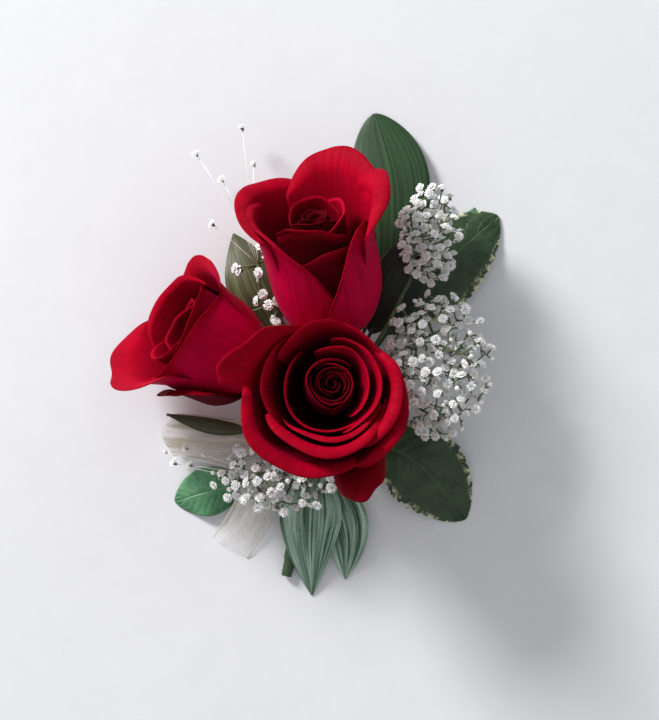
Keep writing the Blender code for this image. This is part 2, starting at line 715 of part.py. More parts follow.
def ribbon(name, line, closed, binding_surface, finish):
    """A strip of ribbon along a line, gathered where it meets the binding."""
    path = curve_through(line, 3 * len(line))
    middle = len(path) // 2 if closed else len(path)
    far_half = path[:middle:-1]
    room = RIBBON_GATHER / 2 + GAP
    path = start_clear_of(binding_surface, path[:middle], room)
    if closed:
        path += start_clear_of(binding_surface, far_half, room)[::-1]
    path = curve_through(path, 13 if closed else 8)
    columns = (-1.0, -0.33, 0.33, 1.0)
    grid = np.zeros((len(path), len(columns), 3))
    across = None
    for i, p in enumerate(path):
        ahead = (path[min(i + 1, len(path) - 1)] - path[max(i - 1, 0)]).normalized()
        across = across or ahead.cross(Vector((0, 0, 1))).normalized()
        across = (across - ahead * across.dot(ahead)).normalized()
        up = across.cross(ahead)
        share = i / (len(path) - 1)
        nearest = min(share, 1.0 - share) if closed else share
        width = mix(RIBBON_GATHER, RIBBON_WIDTH, smooth(nearest / 0.3)) / 2
        for j, t in enumerate(columns):
            grid[i, j] = p + across * t * width + up * 0.5 * math.cos(3.0 * t)
    low = grid[:, :, 2].min() - 0.35
    grid[:, :, 2] -= min(low, 0.0)
    return solid(name, blade(grid, 0.6), finish)


def main():
    for old in list(bpy.data.objects):
        bpy.data.objects.remove(old)
    red = material("petal_red", (0.45, 0.005, 0.02), 0.55)
    green = material("calyx_green", (0.10, 0.22, 0.05), 0.6)
    leaf_green = material("leaf_green", (0.03, 0.10, 0.05), 0.45)
    white = material("breath_white", (0.85, 0.85, 0.80), 0.7)
    ivory = material("ribbon_ivory", (0.80, 0.75, 0.60), 0.5)
    tape = material("tape_green", (0.05, 0.10, 0.04), 0.7)

    binding_shape = tube(BINDING_LINE, BINDING_HALF_WIDTHS, 12, BINDING_SQUASH, 0.0)
    binding = solid("tape_binding", binding_shape, tape)
    binding_surface = surface_of(binding)

    made = [binding]
    for name, rose in ROSES.items():
        place = place_of(name, rose)
        made.append(bloom(name + "_petals", rose, place, red))
        made.append(calyx(name + "_calyx", rose, place, binding_surface, green))
    for name, (line, base, half_width, kind, fall) in LEAVES.items():
        made.append(leaf(name, line, base, half_width, kind, fall, binding_surface, leaf_green))
    for name, (line, closed) in RIBBONS.items():
        made.append(ribbon(name, line, closed, binding_surface, ivory))
    for name, (stem, clouds) in SPRAYS.items():
        others = surface_of(*made)
        made.append(spray(name, stem, clouds, binding_surface, others, white))


main()
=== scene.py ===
"""Looks of a corsage of three red roses with baby's breath, mixed leaves and a sheer ribbon.

Shapes are built in millimetres and put into Blender in metres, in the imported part's own frame.
"""

import math
import random

import bpy
import numpy as np
from mathutils import Matrix, Vector
from mathutils.bvhtree import BVHTree


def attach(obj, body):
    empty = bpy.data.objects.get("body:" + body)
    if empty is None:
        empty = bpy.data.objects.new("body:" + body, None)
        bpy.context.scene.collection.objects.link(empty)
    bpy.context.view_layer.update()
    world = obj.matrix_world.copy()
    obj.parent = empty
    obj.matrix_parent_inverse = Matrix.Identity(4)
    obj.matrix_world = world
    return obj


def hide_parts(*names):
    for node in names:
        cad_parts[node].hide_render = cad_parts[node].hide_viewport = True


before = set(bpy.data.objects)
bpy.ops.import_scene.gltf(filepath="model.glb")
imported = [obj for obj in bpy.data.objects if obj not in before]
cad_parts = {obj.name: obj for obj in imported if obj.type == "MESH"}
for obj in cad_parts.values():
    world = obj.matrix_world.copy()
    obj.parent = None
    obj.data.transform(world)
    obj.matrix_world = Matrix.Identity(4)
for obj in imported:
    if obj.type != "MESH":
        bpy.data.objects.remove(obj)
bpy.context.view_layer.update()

MM = 0.001
GOLDEN_ANGLE = 137.508
ANY_TURN = (0.0, 6.28)

# The photograph: its size in pixels, millimetres to a pixel and the pixel above the origin.
IMAGE = (659, 720)
PIXEL = 0.30
ORIGIN_PIXEL = (307.5, 440.2)
CAMERA_DISTANCE = 875.0
AIM_HEIGHT = 25.0

# The light, in metres and watts, the light of the surroundings, and half of the floor's side in metres.
LIGHT_PLACE = (-1.10, 1.17, 0.79)
LIGHT_AIM = (0.0, 0.02, 0.02)
LIGHT_POWER = 37.0
LIGHT_SIZE = 0.48
SKY_COLOUR = (0.96, 0.98, 1.0, 1.0)
SKY_STRENGTH = 0.47
FLOOR_HALF = 2.0

# The binding, as in the part's source. TAPE_PITCH is the climb of one turn of tape, and TAPE_LAP is how far
# its edge stands out.
BINDING_LINE = [(2, 9, 3.3), (0, 0, 3.2), (-1.6, -12, 2.8), (-3.4, -27, 2.2), (-6.6, -42.5, 1.5)]
BINDING_HALF_WIDTHS = [5.6, 5.2, 4, 2.6, 1.6]
BINDING_SQUASH = 0.76
TAPE_PITCH = 5.2
TAPE_LAP = 0.28

HIP_RADIUS = 4.8
HIP_HEIGHT = 7.5
STEM_RADIUS = 1.7

# Petals: rows of points up the wall and round the lip, points across, and thicknesses. The wind is the change
# of the rim's radius from the middle to a side, so that petals lap.
BODY_ROWS, LIP_ROWS, PETAL_COLUMNS = 17, 11, 37
PETAL_THICKNESS, MARGIN_THICKNESS = 0.42, 0.06
HEART_WIND, PETAL_WIND = -0.5, -0.35

# A petal with a rim up to HEART_RIM has only the darker colours, painted shade of the heart's depth, and one
# with a rim above INNER_RIM has the bright back, while smaller ones have an outer face darkened by painted
# shade.
# Petals lower than GUARD_HEIGHT are guard petals, darkened on both faces by painted shade.
HEART_RIM, HEART_SHADE = 5, 0.48
INNER_RIM = 11.5
GUARD_HEIGHT, GUARD_SHADE = 22, 0.65

# Roses, as in the part's source, with the fine petals of their hearts.
# heart: number of petals, radius of their rims and their height. open_side: the direction round the
# rose in which its outer petals lean, and by how much.
# petals: direction round the rose, radius and height of the rim, half of the angle that the petal
# spans, how far the rim flares, length and turn of the rolled lip, how far the sides drop, and where
# between the sides the petal reaches furthest.
ROSES = {
    "rose_centre": {
        "foot": (6, 13, 18), "heading": 69, "lift": 80, "open_side": (251, 5.5),
        "heart": (10, 7.6, 27.5),
        "petals": [
            (50, 8.8, 30.5, 88, 0.26, 0.8, 40, 0.1, 0), (28, 11.4, 31.8, 82, 0.26, 1.2, 40, 0.08, 0),
            (251, 12.7, 28.5, 105, 0, 1.2, 60, 0.08, 0), (300, 14.5, 29.5, 66, 0, 2.8, 90, 0.14, 0.2),
            (101, 14.2, 31.5, 70, 0.32, 1.2, 40, 0.12, 0), (190, 15.4, 29, 56, 0.22, 1.3, 50, 0.12, 0),
            (299, 16.3, 30.5, 76, 0.02, 5.2, 105, 0.12, -0.1), (14, 16.4, 31, 56, 0.15, 5, 100, 0.15, 0),
            (249, 19.9, 29, 68, 0.04, 6.4, 100, 0.15, 0.1), (4, 20.8, 28, 52, 0.06, 5.4, 120, 0.25, 0),
            (158, 16.4, 29, 40, 0.46, 11.5, 40, 0.1, 0.8), (320, 20.8, 19.5, 22, 0.12, 10.5, 100, 0.2, 0),
        ],
        "sepals": [(25, 15), (10, 7), (10, 7), (45, 14), (22, 22)],
        "stem": [(4.4, 9.2, 8.2), (2.4, 5, 6.4), (1.6, 3, 4)],
    },
    "rose_top": {
        "foot": (7.2, 31.5, 14.5), "heading": 98.5, "lift": 31, "open_side": (0, 0),
        "heart": (8, 4.8, 41.5),
        "petals": [
            (262, 6.6, 42, 100, 0, 1, 50, 0.08, 0), (110, 7.6, 43, 95, 0, 1, 50, 0.1, 0),
            (5, 8.8, 42.5, 85, 0.02, 1.4, 70, 0.12, 0), (250, 10.2, 41, 80, 0, 2, 85, 0.12, 0),
            (52, 12.6, 46, 64, 0.4, 8.5, 55, 0.1, 0), (285, 12.2, 34, 75, 0, 1, 50, 0.25, 0),
            (146, 14.4, 43.5, 72, 0.36, 5.5, 80, 0.1, 0.1), (8, 15.4, 45, 50, 0.14, 8.5, 110, 0.15, 0),
            (214, 15.4, 42.5, 70, 0.14, 3.5, 95, 0.52, -0.5), (325, 17.8, 39, 58, -0.14, 1.8, 80, 0.52, 0.1),
        ],
        "sepals": [(15, 12), (0, 6), (10, 8), (50, 5), (10, 7)],
        "stem": [(7, 18.5, 6), (3, 13, 3.6), (1.2, 9, 3), (0.8, 5, 3)],
    },
    "rose_left": {
        "foot": (-15, 21.5, 15), "heading": 152, "lift": 24, "open_side": (0, 0),
        "heart": (6, 4.2, 26),
        "petals": [
            (268, 6.4, 27, 100, 0, 1, 50, 0.08, 0), (100, 7.4, 28, 100, 0, 1, 50, 0.08, 0),
            (330, 9.4, 29.5, 90, 0, 1.2, 60, 0.12, 0), (200, 11.2, 31, 85, 0.02, 1.4, 60, 0.14, 0),
            (290, 12.6, 31, 90, 0.02, 2, 80, 0.14, 0), (62, 13.6, 32, 68, 0.08, 2.6, 70, 0.12, 0),
            (160, 14.4, 32, 62, 0.36, 8.5, 50, 0.06, 0), (20, 14.2, 27.5, 58, 0.28, 6, 55, 0.06, -0.2),
            (258, 15.4, 29.5, 88, 0.02, 2.2, 70, 0.16, -0.2), (192, 16.8, 21, 36, 0.08, 6, 70, 0.25, 0),
        ],
        "sepals": [(15, 8), (0, 6), (10, 12), (30, 5), (10, 5)],
        "stem": [(-5.4, 14.6, 8), (-3.2, 10.9, 5.9), (-1.8, 6, 4.6)],
    },
}

# Leaves, as in the part's source: index of the blade's base, half width, outline, fall of the margins, line.
LEAVES = {
    "leaf_top": (2, 12, "broad", 0.16, [
        (4, 7, 1.8), (9, 18, 1.8), (20, 38, 2.6), (25, 55, 4), (25.5, 78, 4.2), (20.5, 100, 1),
    ]),
    "leaf_right": (2, 13, "toothed", 0.12, [
        (3, 4, 4.4), (11, 14, 4.4), (24, 32, 6), (38, 50, 8.5), (58.5, 68.5, 2.5),
    ]),
    "leaf_behind": (2, 8, "lance", 0.05, [
        (3, 2, 2), (17, 15, 1.6), (37, 40, 1.8), (46.5, 56, 1.8), (51.5, 71, 1.2),
    ]),
    "leaf_inner": (2, 8, "lance", 0.15, [
        (2.5, 5.5, 4.9), (12, 20, 6.4), (19, 32, 8.8), (28.5, 50, 12.5), (36, 66, 10),
    ]),
    "leaf_low_right": (2, 12.5, "toothed", 0.12, [
        (1, -3, 3), (10, -4, 3.4), (19, -1, 5.5), (34, -8, 7), (48.5, -25, 1.5),
    ]),
    "leaf_bottom": (1, 9.5, "lance", 0.18, [
        (0, -3, 5.5), (1.5, -9, 8.4), (1, -20, 8.6), (0.6, -32, 7.4), (1.2, -48.5, 0.9),
    ]),
    "leaf_bottom_back": (1, 7.5, "lance", 0.1, [
        (0, -10, 3), (7, -13, 3.2), (10, -22, 4.2), (12, -32, 4), (11.5, -43.5, 0.8),
    ]),
    "leaf_low_left": (2, 7.5, "oval", 0.1, [
        (-1, -12, 1.6), (-10, -13.5, 1.3), (-20, -14, 2.2), (-31, -16.5, 3.6), (-41, -19.5, 1),
    ]),
    "leaf_thin": (2, 2.4, "lance", 0.25, [
        (-2, 1, 6), (-9, 2, 9.5), (-18, 2.5, 11.5), (-30, 4, 12.5), (-43, 7.5, 12),
    ]),
    "leaf_high_left": (2, 8.5, "lance", 0.12, [
        (0, 7, 2.4), (-5, 20, 2.4), (-10, 33, 4), (-17, 48, 6), (-23, 63, 1),
    ]),
}

# Outlines of leaves: the powers that set where a blade is widest and how full it is.
OUTLINES = {"lance": (0.85, 0.85), "oval": (0.95, 0.62), "broad": (1.75, 0.62), "toothed": (1.12, 0.62)}

# Blades: rows and columns of points, thickness, more of it along the rib, and the run of a tooth. A blade
# that comes lower than REST_REACH lies on the floor.
LEAF_ROWS, LEAF_COLUMNS = 90, 31
LEAF_THICKNESS, RIB_THICKNESS = 0.24, 0.45
LEAST_HALF_WIDTH = 0.35
TOOTH_RUN = 3.1
VEIN_SLANT, VEIN_RATE = 0.22, 30.0
REST_REACH = 2.0

# Sprays of baby's breath: the stem as in the part's source, and the clouds its florets fill, each with its
# centre, radii and number of florets.
SPRAYS = {
    "breath_right": (
        [(2, 2, 4), (9, 3, 5.2), (20, 8, 7.5), (31, 17, 13)],
        [((39, 22, 22), (17, 23, 9), 240)],
    ),
    "breath_top_right": (
        [(2.8, 4.6, 5), (10.6, 13.7, 7.6), (22, 31, 14), (31, 48, 16.5)],
        [((36.5, 62, 19.5), (9.5, 15.5, 9), 125)],
    ),
    "breath_low_left": (
        [(-1, -5, 4), (-4, -7, 8), (-9, -9, 11.5), (-15, -11, 12.5)],
        [((-9, -11, 15), (20, 12, 7), 120), ((-37, -6, 12), (8, 4, 4), 5)],
    ),
    "breath_high_left": (
        [(0.1, 8, 5), (0.1, 14, 6.5), (-3, 26, 8), (-8, 36, 11), (-12, 44, 13), (-15, 53, 15)],
        [
            ((-16, 42, 17), (8, 17, 8), 22), ((-28.4, 64.9, 17), (1, 1, 1), 1),
            ((-26.6, 78.7, 14), (1, 1, 1), 1), ((-16.4, 83.2, 12), (1, 1, 1), 1),
            ((-33.2, 86.5, 11), (1, 1, 1), 1), ((-19.6, 94.5, 9), (1, 1, 1), 1),
        ],
    ),
}

# A cloud of LOOSE florets or fewer has single long twigs, and one of fewer than FAR has fine white ones. Room
# is what florets and twigs keep to the other pieces.
LOOSE, LOOSE_SPACING, DENSE_SPACING = 30, 5, 2.75
FAR = 6
FLORET_ROOM, TWIG_ROOM = 1.9, 0.5
SHORTEST_TWIG, TWIG_POINTS = 1.2, 5
HUBS = 16
BUD_SHARE = 0.16

# A floret's rings of petals: number, length, lean in degrees and half width.
FLORET_RINGS = ((6, 1.62, 62, 0.62), (6, 1.35, 38, 0.56), (4, 0.95, 16, 0.45))
# Rows along such a petal: share of its length, of its half width, and depth of the notch.
FLORET_ROWS = ((0, 0.35, 0), (0.4, 0.8, 0), (0.8, 1, 0), (1, 0.75, 0.16))
BUD = [(0, -0.9), (0.35, -0.7), (0.62, -0.2), (0.66, 0.2), (0.45, 0.62), (0, 0.8)]
CUP = [(0, -1), (0.22, -0.95), (0.45, -0.5), (0.6, -0.1), (0.3, 0), (0, 0)]

# The ribbon, as in the part's source: its width, free and gathered, and each strip's line and whether both of
# its ends are in the binding. It is spread by SPREAD_SHARE of its length, and the sides of a loop's far end
# are drawn in by END_PULL.
RIBBON_WIDTH, RIBBON_GATHER, RIBBON_THICKNESS = 13, 4.5, 0.10
RIBBON_ROWS, RIBBON_COLUMNS = 110, 41
SPREAD_SHARE = 0.3
END_PULL, END_SHARE = 3, 0.1
PLEATS = 4.0
THREAD_PITCH = 0.32
RIBBONS = {
    "ribbon_loop": (
        [
            (-3, -1.5, 4.6), (-10, -2, 7.5), (-22, -0.5, 9), (-35, 1, 9), (-43, 1.5, 7),
            (-43.5, 1.5, 3.6), (-36, 0.6, 1.8), (-22, -1.4, 1.3), (-10, -3, 1.3), (-3, -4, 1.4),
        ],
        True,
    ),
    "ribbon_tail": (
        [(-2, -8, 4), (-9.5, -8.8, 6.1), (-14, -16, 5.5), (-18.2, -25, 3.1), (-24, -34, 1.2)],
        False,
    ),
}


def smooth(x):
    """0 below 0, 1 above 1, and an even step between."""
    x = np.clip(x, 0.0, 1.0)
    return x * x * (3.0 - 2.0 * x)


def mix(low, high, share):
    return low + (high - low) * share


# The stage.


def stage():
    """A camera straight above as in the photograph, a soft light from the upper left, and a pale floor."""
    scene = bpy.context.scene
    scene.view_settings.view_transform = "Standard"
    aim = Vector((
        (IMAGE[0] / 2 - ORIGIN_PIXEL[0]) * PIXEL, (ORIGIN_PIXEL[1] - IMAGE[1] / 2) * PIXEL, AIM_HEIGHT,
    ))
    data = bpy.data.cameras.new("camera")
    camera = bpy.data.objects.new("camera", data)
    camera.location = (aim + Vector((0, 0, CAMERA_DISTANCE))) * MM
    data.sensor_fit = "VERTICAL"
    data.angle = 2 * math.atan(IMAGE[1] * PIXEL / 2 / CAMERA_DISTANCE)
    data.clip_end = 20.0
    scene.collection.objects.link(camera)
    scene.camera = camera

    lamp = bpy.data.lights.new("key", "AREA")
    lamp.energy = LIGHT_POWER
    lamp.size = LIGHT_SIZE
    light = bpy.data.objects.new("key", lamp)
    light.location = LIGHT_PLACE
    light.rotation_mode = "QUATERNION"
    light.rotation_quaternion = (Vector(LIGHT_AIM) - light.location).to_track_quat("-Z", "Y")
    scene.collection.objects.link(light)

    world = bpy.data.worlds.new("studio")
    scene.world = world
    world.use_nodes = True
    sky = world.node_tree.nodes["Background"]
    sky.inputs["Color"].default_value = SKY_COLOUR
    sky.inputs["Strength"].default_value = SKY_STRENGTH

    mesh = bpy.data.meshes.new("floor")
    corners = [(x * FLOOR_HALF, y * FLOOR_HALF, 0) for x, y in ((-1, -1), (1, -1), (1, 1), (-1, 1))]
    mesh.from_pydata(corners, [], [(0, 1, 2, 3)])
    mesh.materials.append(stone())
    floor = bpy.data.objects.new("floor", mesh)
    scene.collection.objects.link(floor)


# Materials. Points carry a mark: share along the piece, share across it from -1 to 1, and a seed.


def add(tree, kind, inputs=(), **settings):
    """A shader node. An input is a value or another node's output."""
    node = tree.nodes.new("ShaderNode" + kind)
    for key, value in settings.items():
        setattr(node, key, value)
    for key, value in dict(inputs).items():
        if isinstance(value, bpy.types.NodeSocket):
            tree.links.new(value, node.inputs[key])
        else:
            node.inputs[key].default_value = value
    return node


def calc(tree, operation, a, b=0.0):
    return add(tree, "Math", {0: a, 1: b}, operation=operation).outputs[0]


def between(tree, value, low, high, start=0.0, end=1.0):
    """A value in the range low to high, moved to start to end and kept there."""
    inputs = {"Value": value, "From Min": low, "From Max": high, "To Min": start, "To Max": end}
    return add(tree, "MapRange", inputs).outputs[0]


def blend(tree, factor, a, b):
    """Two colours mixed."""
    colours = [c if isinstance(c, bpy.types.NodeSocket) else (*c, 1.0) for c in (a, b)]
    return add(tree, "Mix", {0: factor, 6: colours[0], 7: colours[1]}, data_type="RGBA").outputs[2]


def ramp(tree, value, *stops):
    """A colour ramp from (place, colour) stops."""
    node = add(tree, "ValToRGB", {"Fac": value})
    steps = node.color_ramp.elements
    while len(steps) < len(stops):
        steps.new(0.5)
    for step, (place, colour) in zip(steps, stops):
        step.position = place
        step.color = (*colour, 1.0)
    return node.outputs[0]


def noise(tree, scale, detail=3.0, roughness=0.55, where=None):
    """Noise at a place in a texture, or else at the point's own place on its object."""
    if where is None:
        where = add(tree, "TexCoord").outputs["Object"]
    inputs = {"Vector": where, "Scale": scale, "Detail": detail, "Roughness": roughness}
    return add(tree, "TexNoise", inputs).outputs["Fac"]


def bump(tree, height, distance):
    return add(tree, "Bump", {"Height": height, "Distance": distance * MM, "Strength": 1.0}).outputs[0]


def material(name, **values):
    """A Principled BSDF material with values on its own sockets: its tree and shader."""
    made = bpy.data.materials.new(name)
    made.use_nodes = True
    tree = made.node_tree
    shader = tree.nodes["Principled BSDF"]
    for key, value in values.items():
        shader.inputs[key.replace("_", " ")].default_value = value
    return made, tree, shader


def feed(tree, shader, **inputs):
    for key, value in inputs.items():
        tree.links.new(value, shader.inputs[key.replace("_", " ")])


def marks_of(tree):
    """The along, across and seed values that the points carry."""
    vector = add(tree, "Attribute", attribute_name="mark").outputs["Vector"]
    return list(add(tree, "SeparateXYZ", {0: vector}).outputs)


def fibres(tree, marks, scales, detail=3.0, roughness=0.55):
    """Noise that runs along a piece, with its own scale along it, across it and by seed."""
    inputs = {n: calc(tree, "MULTIPLY", mark, scale) for n, (mark, scale) in enumerate(zip(marks, scales))}
    return noise(tree, 1.0, detail, roughness, add(tree, "CombineXYZ", inputs).outputs[0])


def mix_colour(a, b, share):
    return tuple(mix(x, y, share) for x, y in zip(a, b))


def stone():
    """The pale floor, faintly clouded."""
    made, tree, shader = material("pale_stone", Roughness=0.55)
    broad = noise(tree, 6.0, 5.0, 0.6)
    fine = noise(tree, 90.0, 4.0, 0.6)
    cloudy = calc(tree, "ADD", calc(tree, "MULTIPLY", broad, 0.7), calc(tree, "MULTIPLY", fine, 0.3))
    colour = ramp(tree, cloudy, (0.30, (0.83, 0.83, 0.86)), (0.70, (0.90, 0.90, 0.93)))
    feed(tree, shader, Base_Color=colour, Normal=bump(tree, fine, 0.10))
    return made


def petal_material(name, deep_and_shaded_red, lit_red, back):
    """Velvety petal: painted shade darkens it in its depth and painted light lightens it at the lip, with
    fine veins fanning to the margin.

    A side of 0 shows the inner face, 0.5 an outer face darkened by painted shade, and 1 the back's colour."""
    made, tree, shader = material(
        name, Roughness=0.55, Specular_IOR_Level=0.03, Sheen_Weight=0.15, Sheen_Roughness=0.35,
        Sheen_Tint=(0.75, 0.005, 0.16, 1.0), Subsurface_Weight=0.12, Subsurface_Scale=0.6 * MM,
        Subsurface_Radius=(1.0, 0.15, 0.12),
    )
    marks = marks_of(tree)
    along = marks[0]
    veins = fibres(tree, marks, (1.6, 20.0, 9.0), 4.0, 0.6)
    cells = noise(tree, 2600.0, 2.0)
    patches = noise(tree, 110.0, 2.0)
    # From painted shade at the root and in the depth of the cup to painted light near the lip.
    face = ramp(
        tree, along, (0.0, (0.12, 0.03, 0.01)), (0.12, mix_colour(deep_and_shaded_red, (0, 0, 0), 0.5)), (0.45, deep_and_shaded_red),
        (0.72, mix_colour(deep_and_shaded_red, lit_red, 0.55)), (0.90, lit_red), (1.0, mix_colour(deep_and_shaded_red, lit_red, 0.7)),
    )
    side = add(tree, "Attribute", attribute_name="side").outputs["Fac"]
    # Outer faces with a side of 0.5 are darkened towards black as painted shade.
    outside = blend(tree, between(tree, side, 0.5, 1.0), mix_colour(deep_and_shaded_red, (0, 0, 0), 0.3), back)
    outside = blend(tree, between(tree, along, 0.80, 0.92), outside, face)
    colour = blend(tree, between(tree, side, 0.2, 0.45), face, outside)
    colour = blend(tree, between(tree, veins, 0.45, 0.75, 0.0, 0.35), colour, deep_and_shaded_red)
    colour = blend(tree, between(tree, patches, 0.35, 0.7, 0.0, 0.25), colour, deep_and_shaded_red)
    rough = between(tree, veins, 0.2, 0.8, 0.48, 0.66)
    height = calc(tree, "ADD", veins, calc(tree, "MULTIPLY", cells, 0.25))
    feed(tree, shader, Base_Color=colour, Roughness=rough, Normal=bump(tree, height, 0.18))
    return made


LEAF_SHINE = {"Specular_IOR_Level": 0.4, "Coat_Weight": 0.05, "Coat_Roughness": 0.3}


def striped_leaf(name, dark, light, stripes, glare_share):
    """Smooth leaf with veins that run along it, some of them pale, and broad pale patches of painted
    highlight.
    """
    made, tree, shader = material(name, Roughness=0.38, **LEAF_SHINE)
    marks = marks_of(tree)
    fine = fibres(tree, marks, (1.2, stripes, 5.0), 3.0, 0.7)
    broad = fibres(tree, marks, (1.5, 2.2, 3.0), 2.0, 0.5)
    grain = noise(tree, 1500.0)
    # The broad pale patches are painted highlights, and a larger glare_share gives more of them.
    pale = between(tree, broad, 0.62 - glare_share, 0.85 - glare_share, 0.0, 0.8)
    rib = between(tree, calc(tree, "ABSOLUTE", marks[1]), 0.0, 0.05, 1.0, 0.0)
    colour = blend(tree, between(tree, fine, 0.40, 0.68, 0.0, 0.65), dark, light)
    colour = blend(tree, pale, colour, light)
    colour = blend(tree, calc(tree, "MULTIPLY", rib, 0.6), colour, light)
    colour = blend(tree, between(tree, grain, 0.4, 0.7, 0.0, 0.25), colour, dark)
    height = calc(tree, "ADD", fine, calc(tree, "MULTIPLY", grain, 0.3))
    rough = between(tree, fine, 0.3, 0.7, 0.46, 0.34)
    feed(tree, shader, Base_Color=colour, Roughness=rough, Normal=bump(tree, height, 0.12))
    return made


def veined_leaf(name, dark, light, fleck=None):
    """Leaf with a mid rib and side veins, and where a fleck colour is given, a mottled margin of it."""
    made, tree, shader = material(name, Roughness=0.42, **LEAF_SHINE)
    along, across, _ = marks_of(tree)
    wide = calc(tree, "ABSOLUTE", across)
    grain = noise(tree, 900.0, 4.0, 0.6)
    patches = noise(tree, 160.0)
    wander = calc(tree, "MULTIPLY", calc(tree, "SUBTRACT", noise(tree, 200.0), 0.5), 0.10)
    slant = calc(tree, "SUBTRACT", calc(tree, "ADD", along, wander), calc(tree, "MULTIPLY", wide, VEIN_SLANT))
    wave = calc(tree, "ABSOLUTE", calc(tree, "SINE", calc(tree, "MULTIPLY", slant, VEIN_RATE)))
    side_vein = between(tree, wave, 0.0, 0.16, 1.0, 0.0)
    rib = between(tree, wide, 0.0, 0.05, 1.0, 0.0)
    veins = calc(tree, "MAXIMUM", rib, calc(tree, "MULTIPLY", side_vein, 0.6))
    colour = blend(tree, between(tree, patches, 0.35, 0.7), dark, mix_colour(dark, light, 0.55))
    colour = blend(tree, between(tree, grain, 0.45, 0.7, 0.0, 0.35), colour, light)
    colour = blend(tree, calc(tree, "MULTIPLY", veins, 0.5), colour, light)
    if fleck:
        edge = between(tree, wide, 0.80, 0.98)
        spots = between(tree, noise(tree, 330.0, 3.0, 0.65), 0.47, 0.56)
        colour = blend(tree, calc(tree, "MULTIPLY", edge, spots), colour, fleck)
    height = calc(tree, "ADD", calc(tree, "MULTIPLY", veins, -1.0), calc(tree, "MULTIPLY", grain, 0.5))
    rough = between(tree, grain, 0.3, 0.7, 0.36, 0.52)
    feed(tree, shader, Base_Color=colour, Roughness=rough, Normal=bump(tree, height, 0.18))
    return made


def green_skin(name, dark, light):
    """Stems, hips and sepals: mottled green with fine lines along them."""
    made, tree, shader = material(name, Roughness=0.5)
    lines = fibres(tree, marks_of(tree), (3.0, 18.0, 7.0))
    mottle = noise(tree, 420.0)
    colour = blend(tree, between(tree, mottle, 0.35, 0.68), dark, light)
    colour = blend(tree, between(tree, lines, 0.45, 0.7, 0.0, 0.5), colour, light)
    rough = between(tree, mottle, 0.3, 0.7, 0.45, 0.65)
    feed(tree, shader, Base_Color=colour, Roughness=rough, Normal=bump(tree, lines, 0.10))
    return made


def floret_material():
    """White petals, cream and faintly green in their hearts."""
    made, tree, shader = material(
        "breath_white", Roughness=0.6, Subsurface_Weight=0.15, Subsurface_Scale=0.4 * MM,
    )
    marks = marks_of(tree)
    face = ramp(
        tree, marks[0], (0.0, (0.42, 0.46, 0.28)), (0.22, (0.90, 0.89, 0.84)), (0.6, (0.99, 0.98, 0.97)),
    )
    tint = between(tree, noise(tree, 240.0, 2.0), 0.5, 0.8, 0.0, 0.2)
    lines = fibres(tree, marks, (1.0, 9.0, 5.0), 2.0)
    colour = blend(tree, tint, face, (0.80, 0.78, 0.74))
    feed(tree, shader, Base_Color=colour, Normal=bump(tree, lines, 0.05))
    return made


def organza():
    """Sheer ivory cloth: a plain weave with clear gaps, denser in its folds and at its edge, with painted
    shade in olive along its folds.
    """
    made, tree, shader = material(
        "organza_ivory", Roughness=0.45, Sheen_Weight=0.3, Sheen_Roughness=0.4, Specular_IOR_Level=0.3,
    )
    marks = marks_of(tree)
    along, across, _ = marks
    warp = calc(tree, "SINE", calc(tree, "MULTIPLY", across, RIBBON_WIDTH * math.pi / THREAD_PITCH))
    weft = calc(tree, "SINE", calc(tree, "MULTIPLY", along, 2 * math.pi / THREAD_PITCH))
    weave = calc(tree, "MAXIMUM", warp, weft)
    slub = fibres(tree, marks, (0.25, 14.0, 3.0))
    folds = fibres(tree, marks, (0.035, 1.7, 5.0), 1.0)
    edge = between(tree, calc(tree, "ABSOLUTE", across), 0.90, 0.94, 0.0, 0.40)
    cover = between(tree, weave, -0.4, 0.7, 0.03, 0.14)
    denser = (edge, between(tree, slub, 0.5, 0.75, 0.0, 0.08), between(tree, folds, 0.47, 0.60, 0.0, 0.62))
    for more in denser:
        cover = calc(tree, "ADD", cover, more)
    ivory = blend(tree, between(tree, slub, 0.35, 0.7), (0.90, 0.84, 0.78), (0.99, 0.96, 0.88))
    # The olive along the folds is painted shade.
    colour = blend(tree, between(tree, folds, 0.55, 0.63, 0.0, 0.7), ivory, (0.60, 0.58, 0.30))
    alpha = calc(tree, "MINIMUM", cover, 1.0)
    feed(tree, shader, Base_Color=colour, Alpha=alpha, Normal=bump(tree, weave, 0.04))
    return made


def tape_material():
    """Crinkled dark green floral tape: paper crepe with a waxy shine."""
    made, tree, shader = material("floral_tape", Roughness=0.5)
    crepe = fibres(tree, marks_of(tree), (260.0, 5.0, 1.0), 3.0, 0.7)
    wear = noise(tree, 260.0)
    colour = blend(tree, between(tree, crepe, 0.3, 0.7), (0.022, 0.055, 0.022), (0.06, 0.12, 0.045))
    colour = blend(tree, between(tree, wear, 0.5, 0.75, 0.0, 0.4), colour, (0.10, 0.15, 0.07))
    rough = between(tree, wear, 0.3, 0.7, 0.4, 0.6)
    feed(tree, shader, Base_Color=colour, Roughness=rough, Normal=bump(tree, crepe, 0.20))
    return made


# Meshes. A part is (points, faces, marks, side). Its side is 0 on a sheet's inner or lower face, else 1.


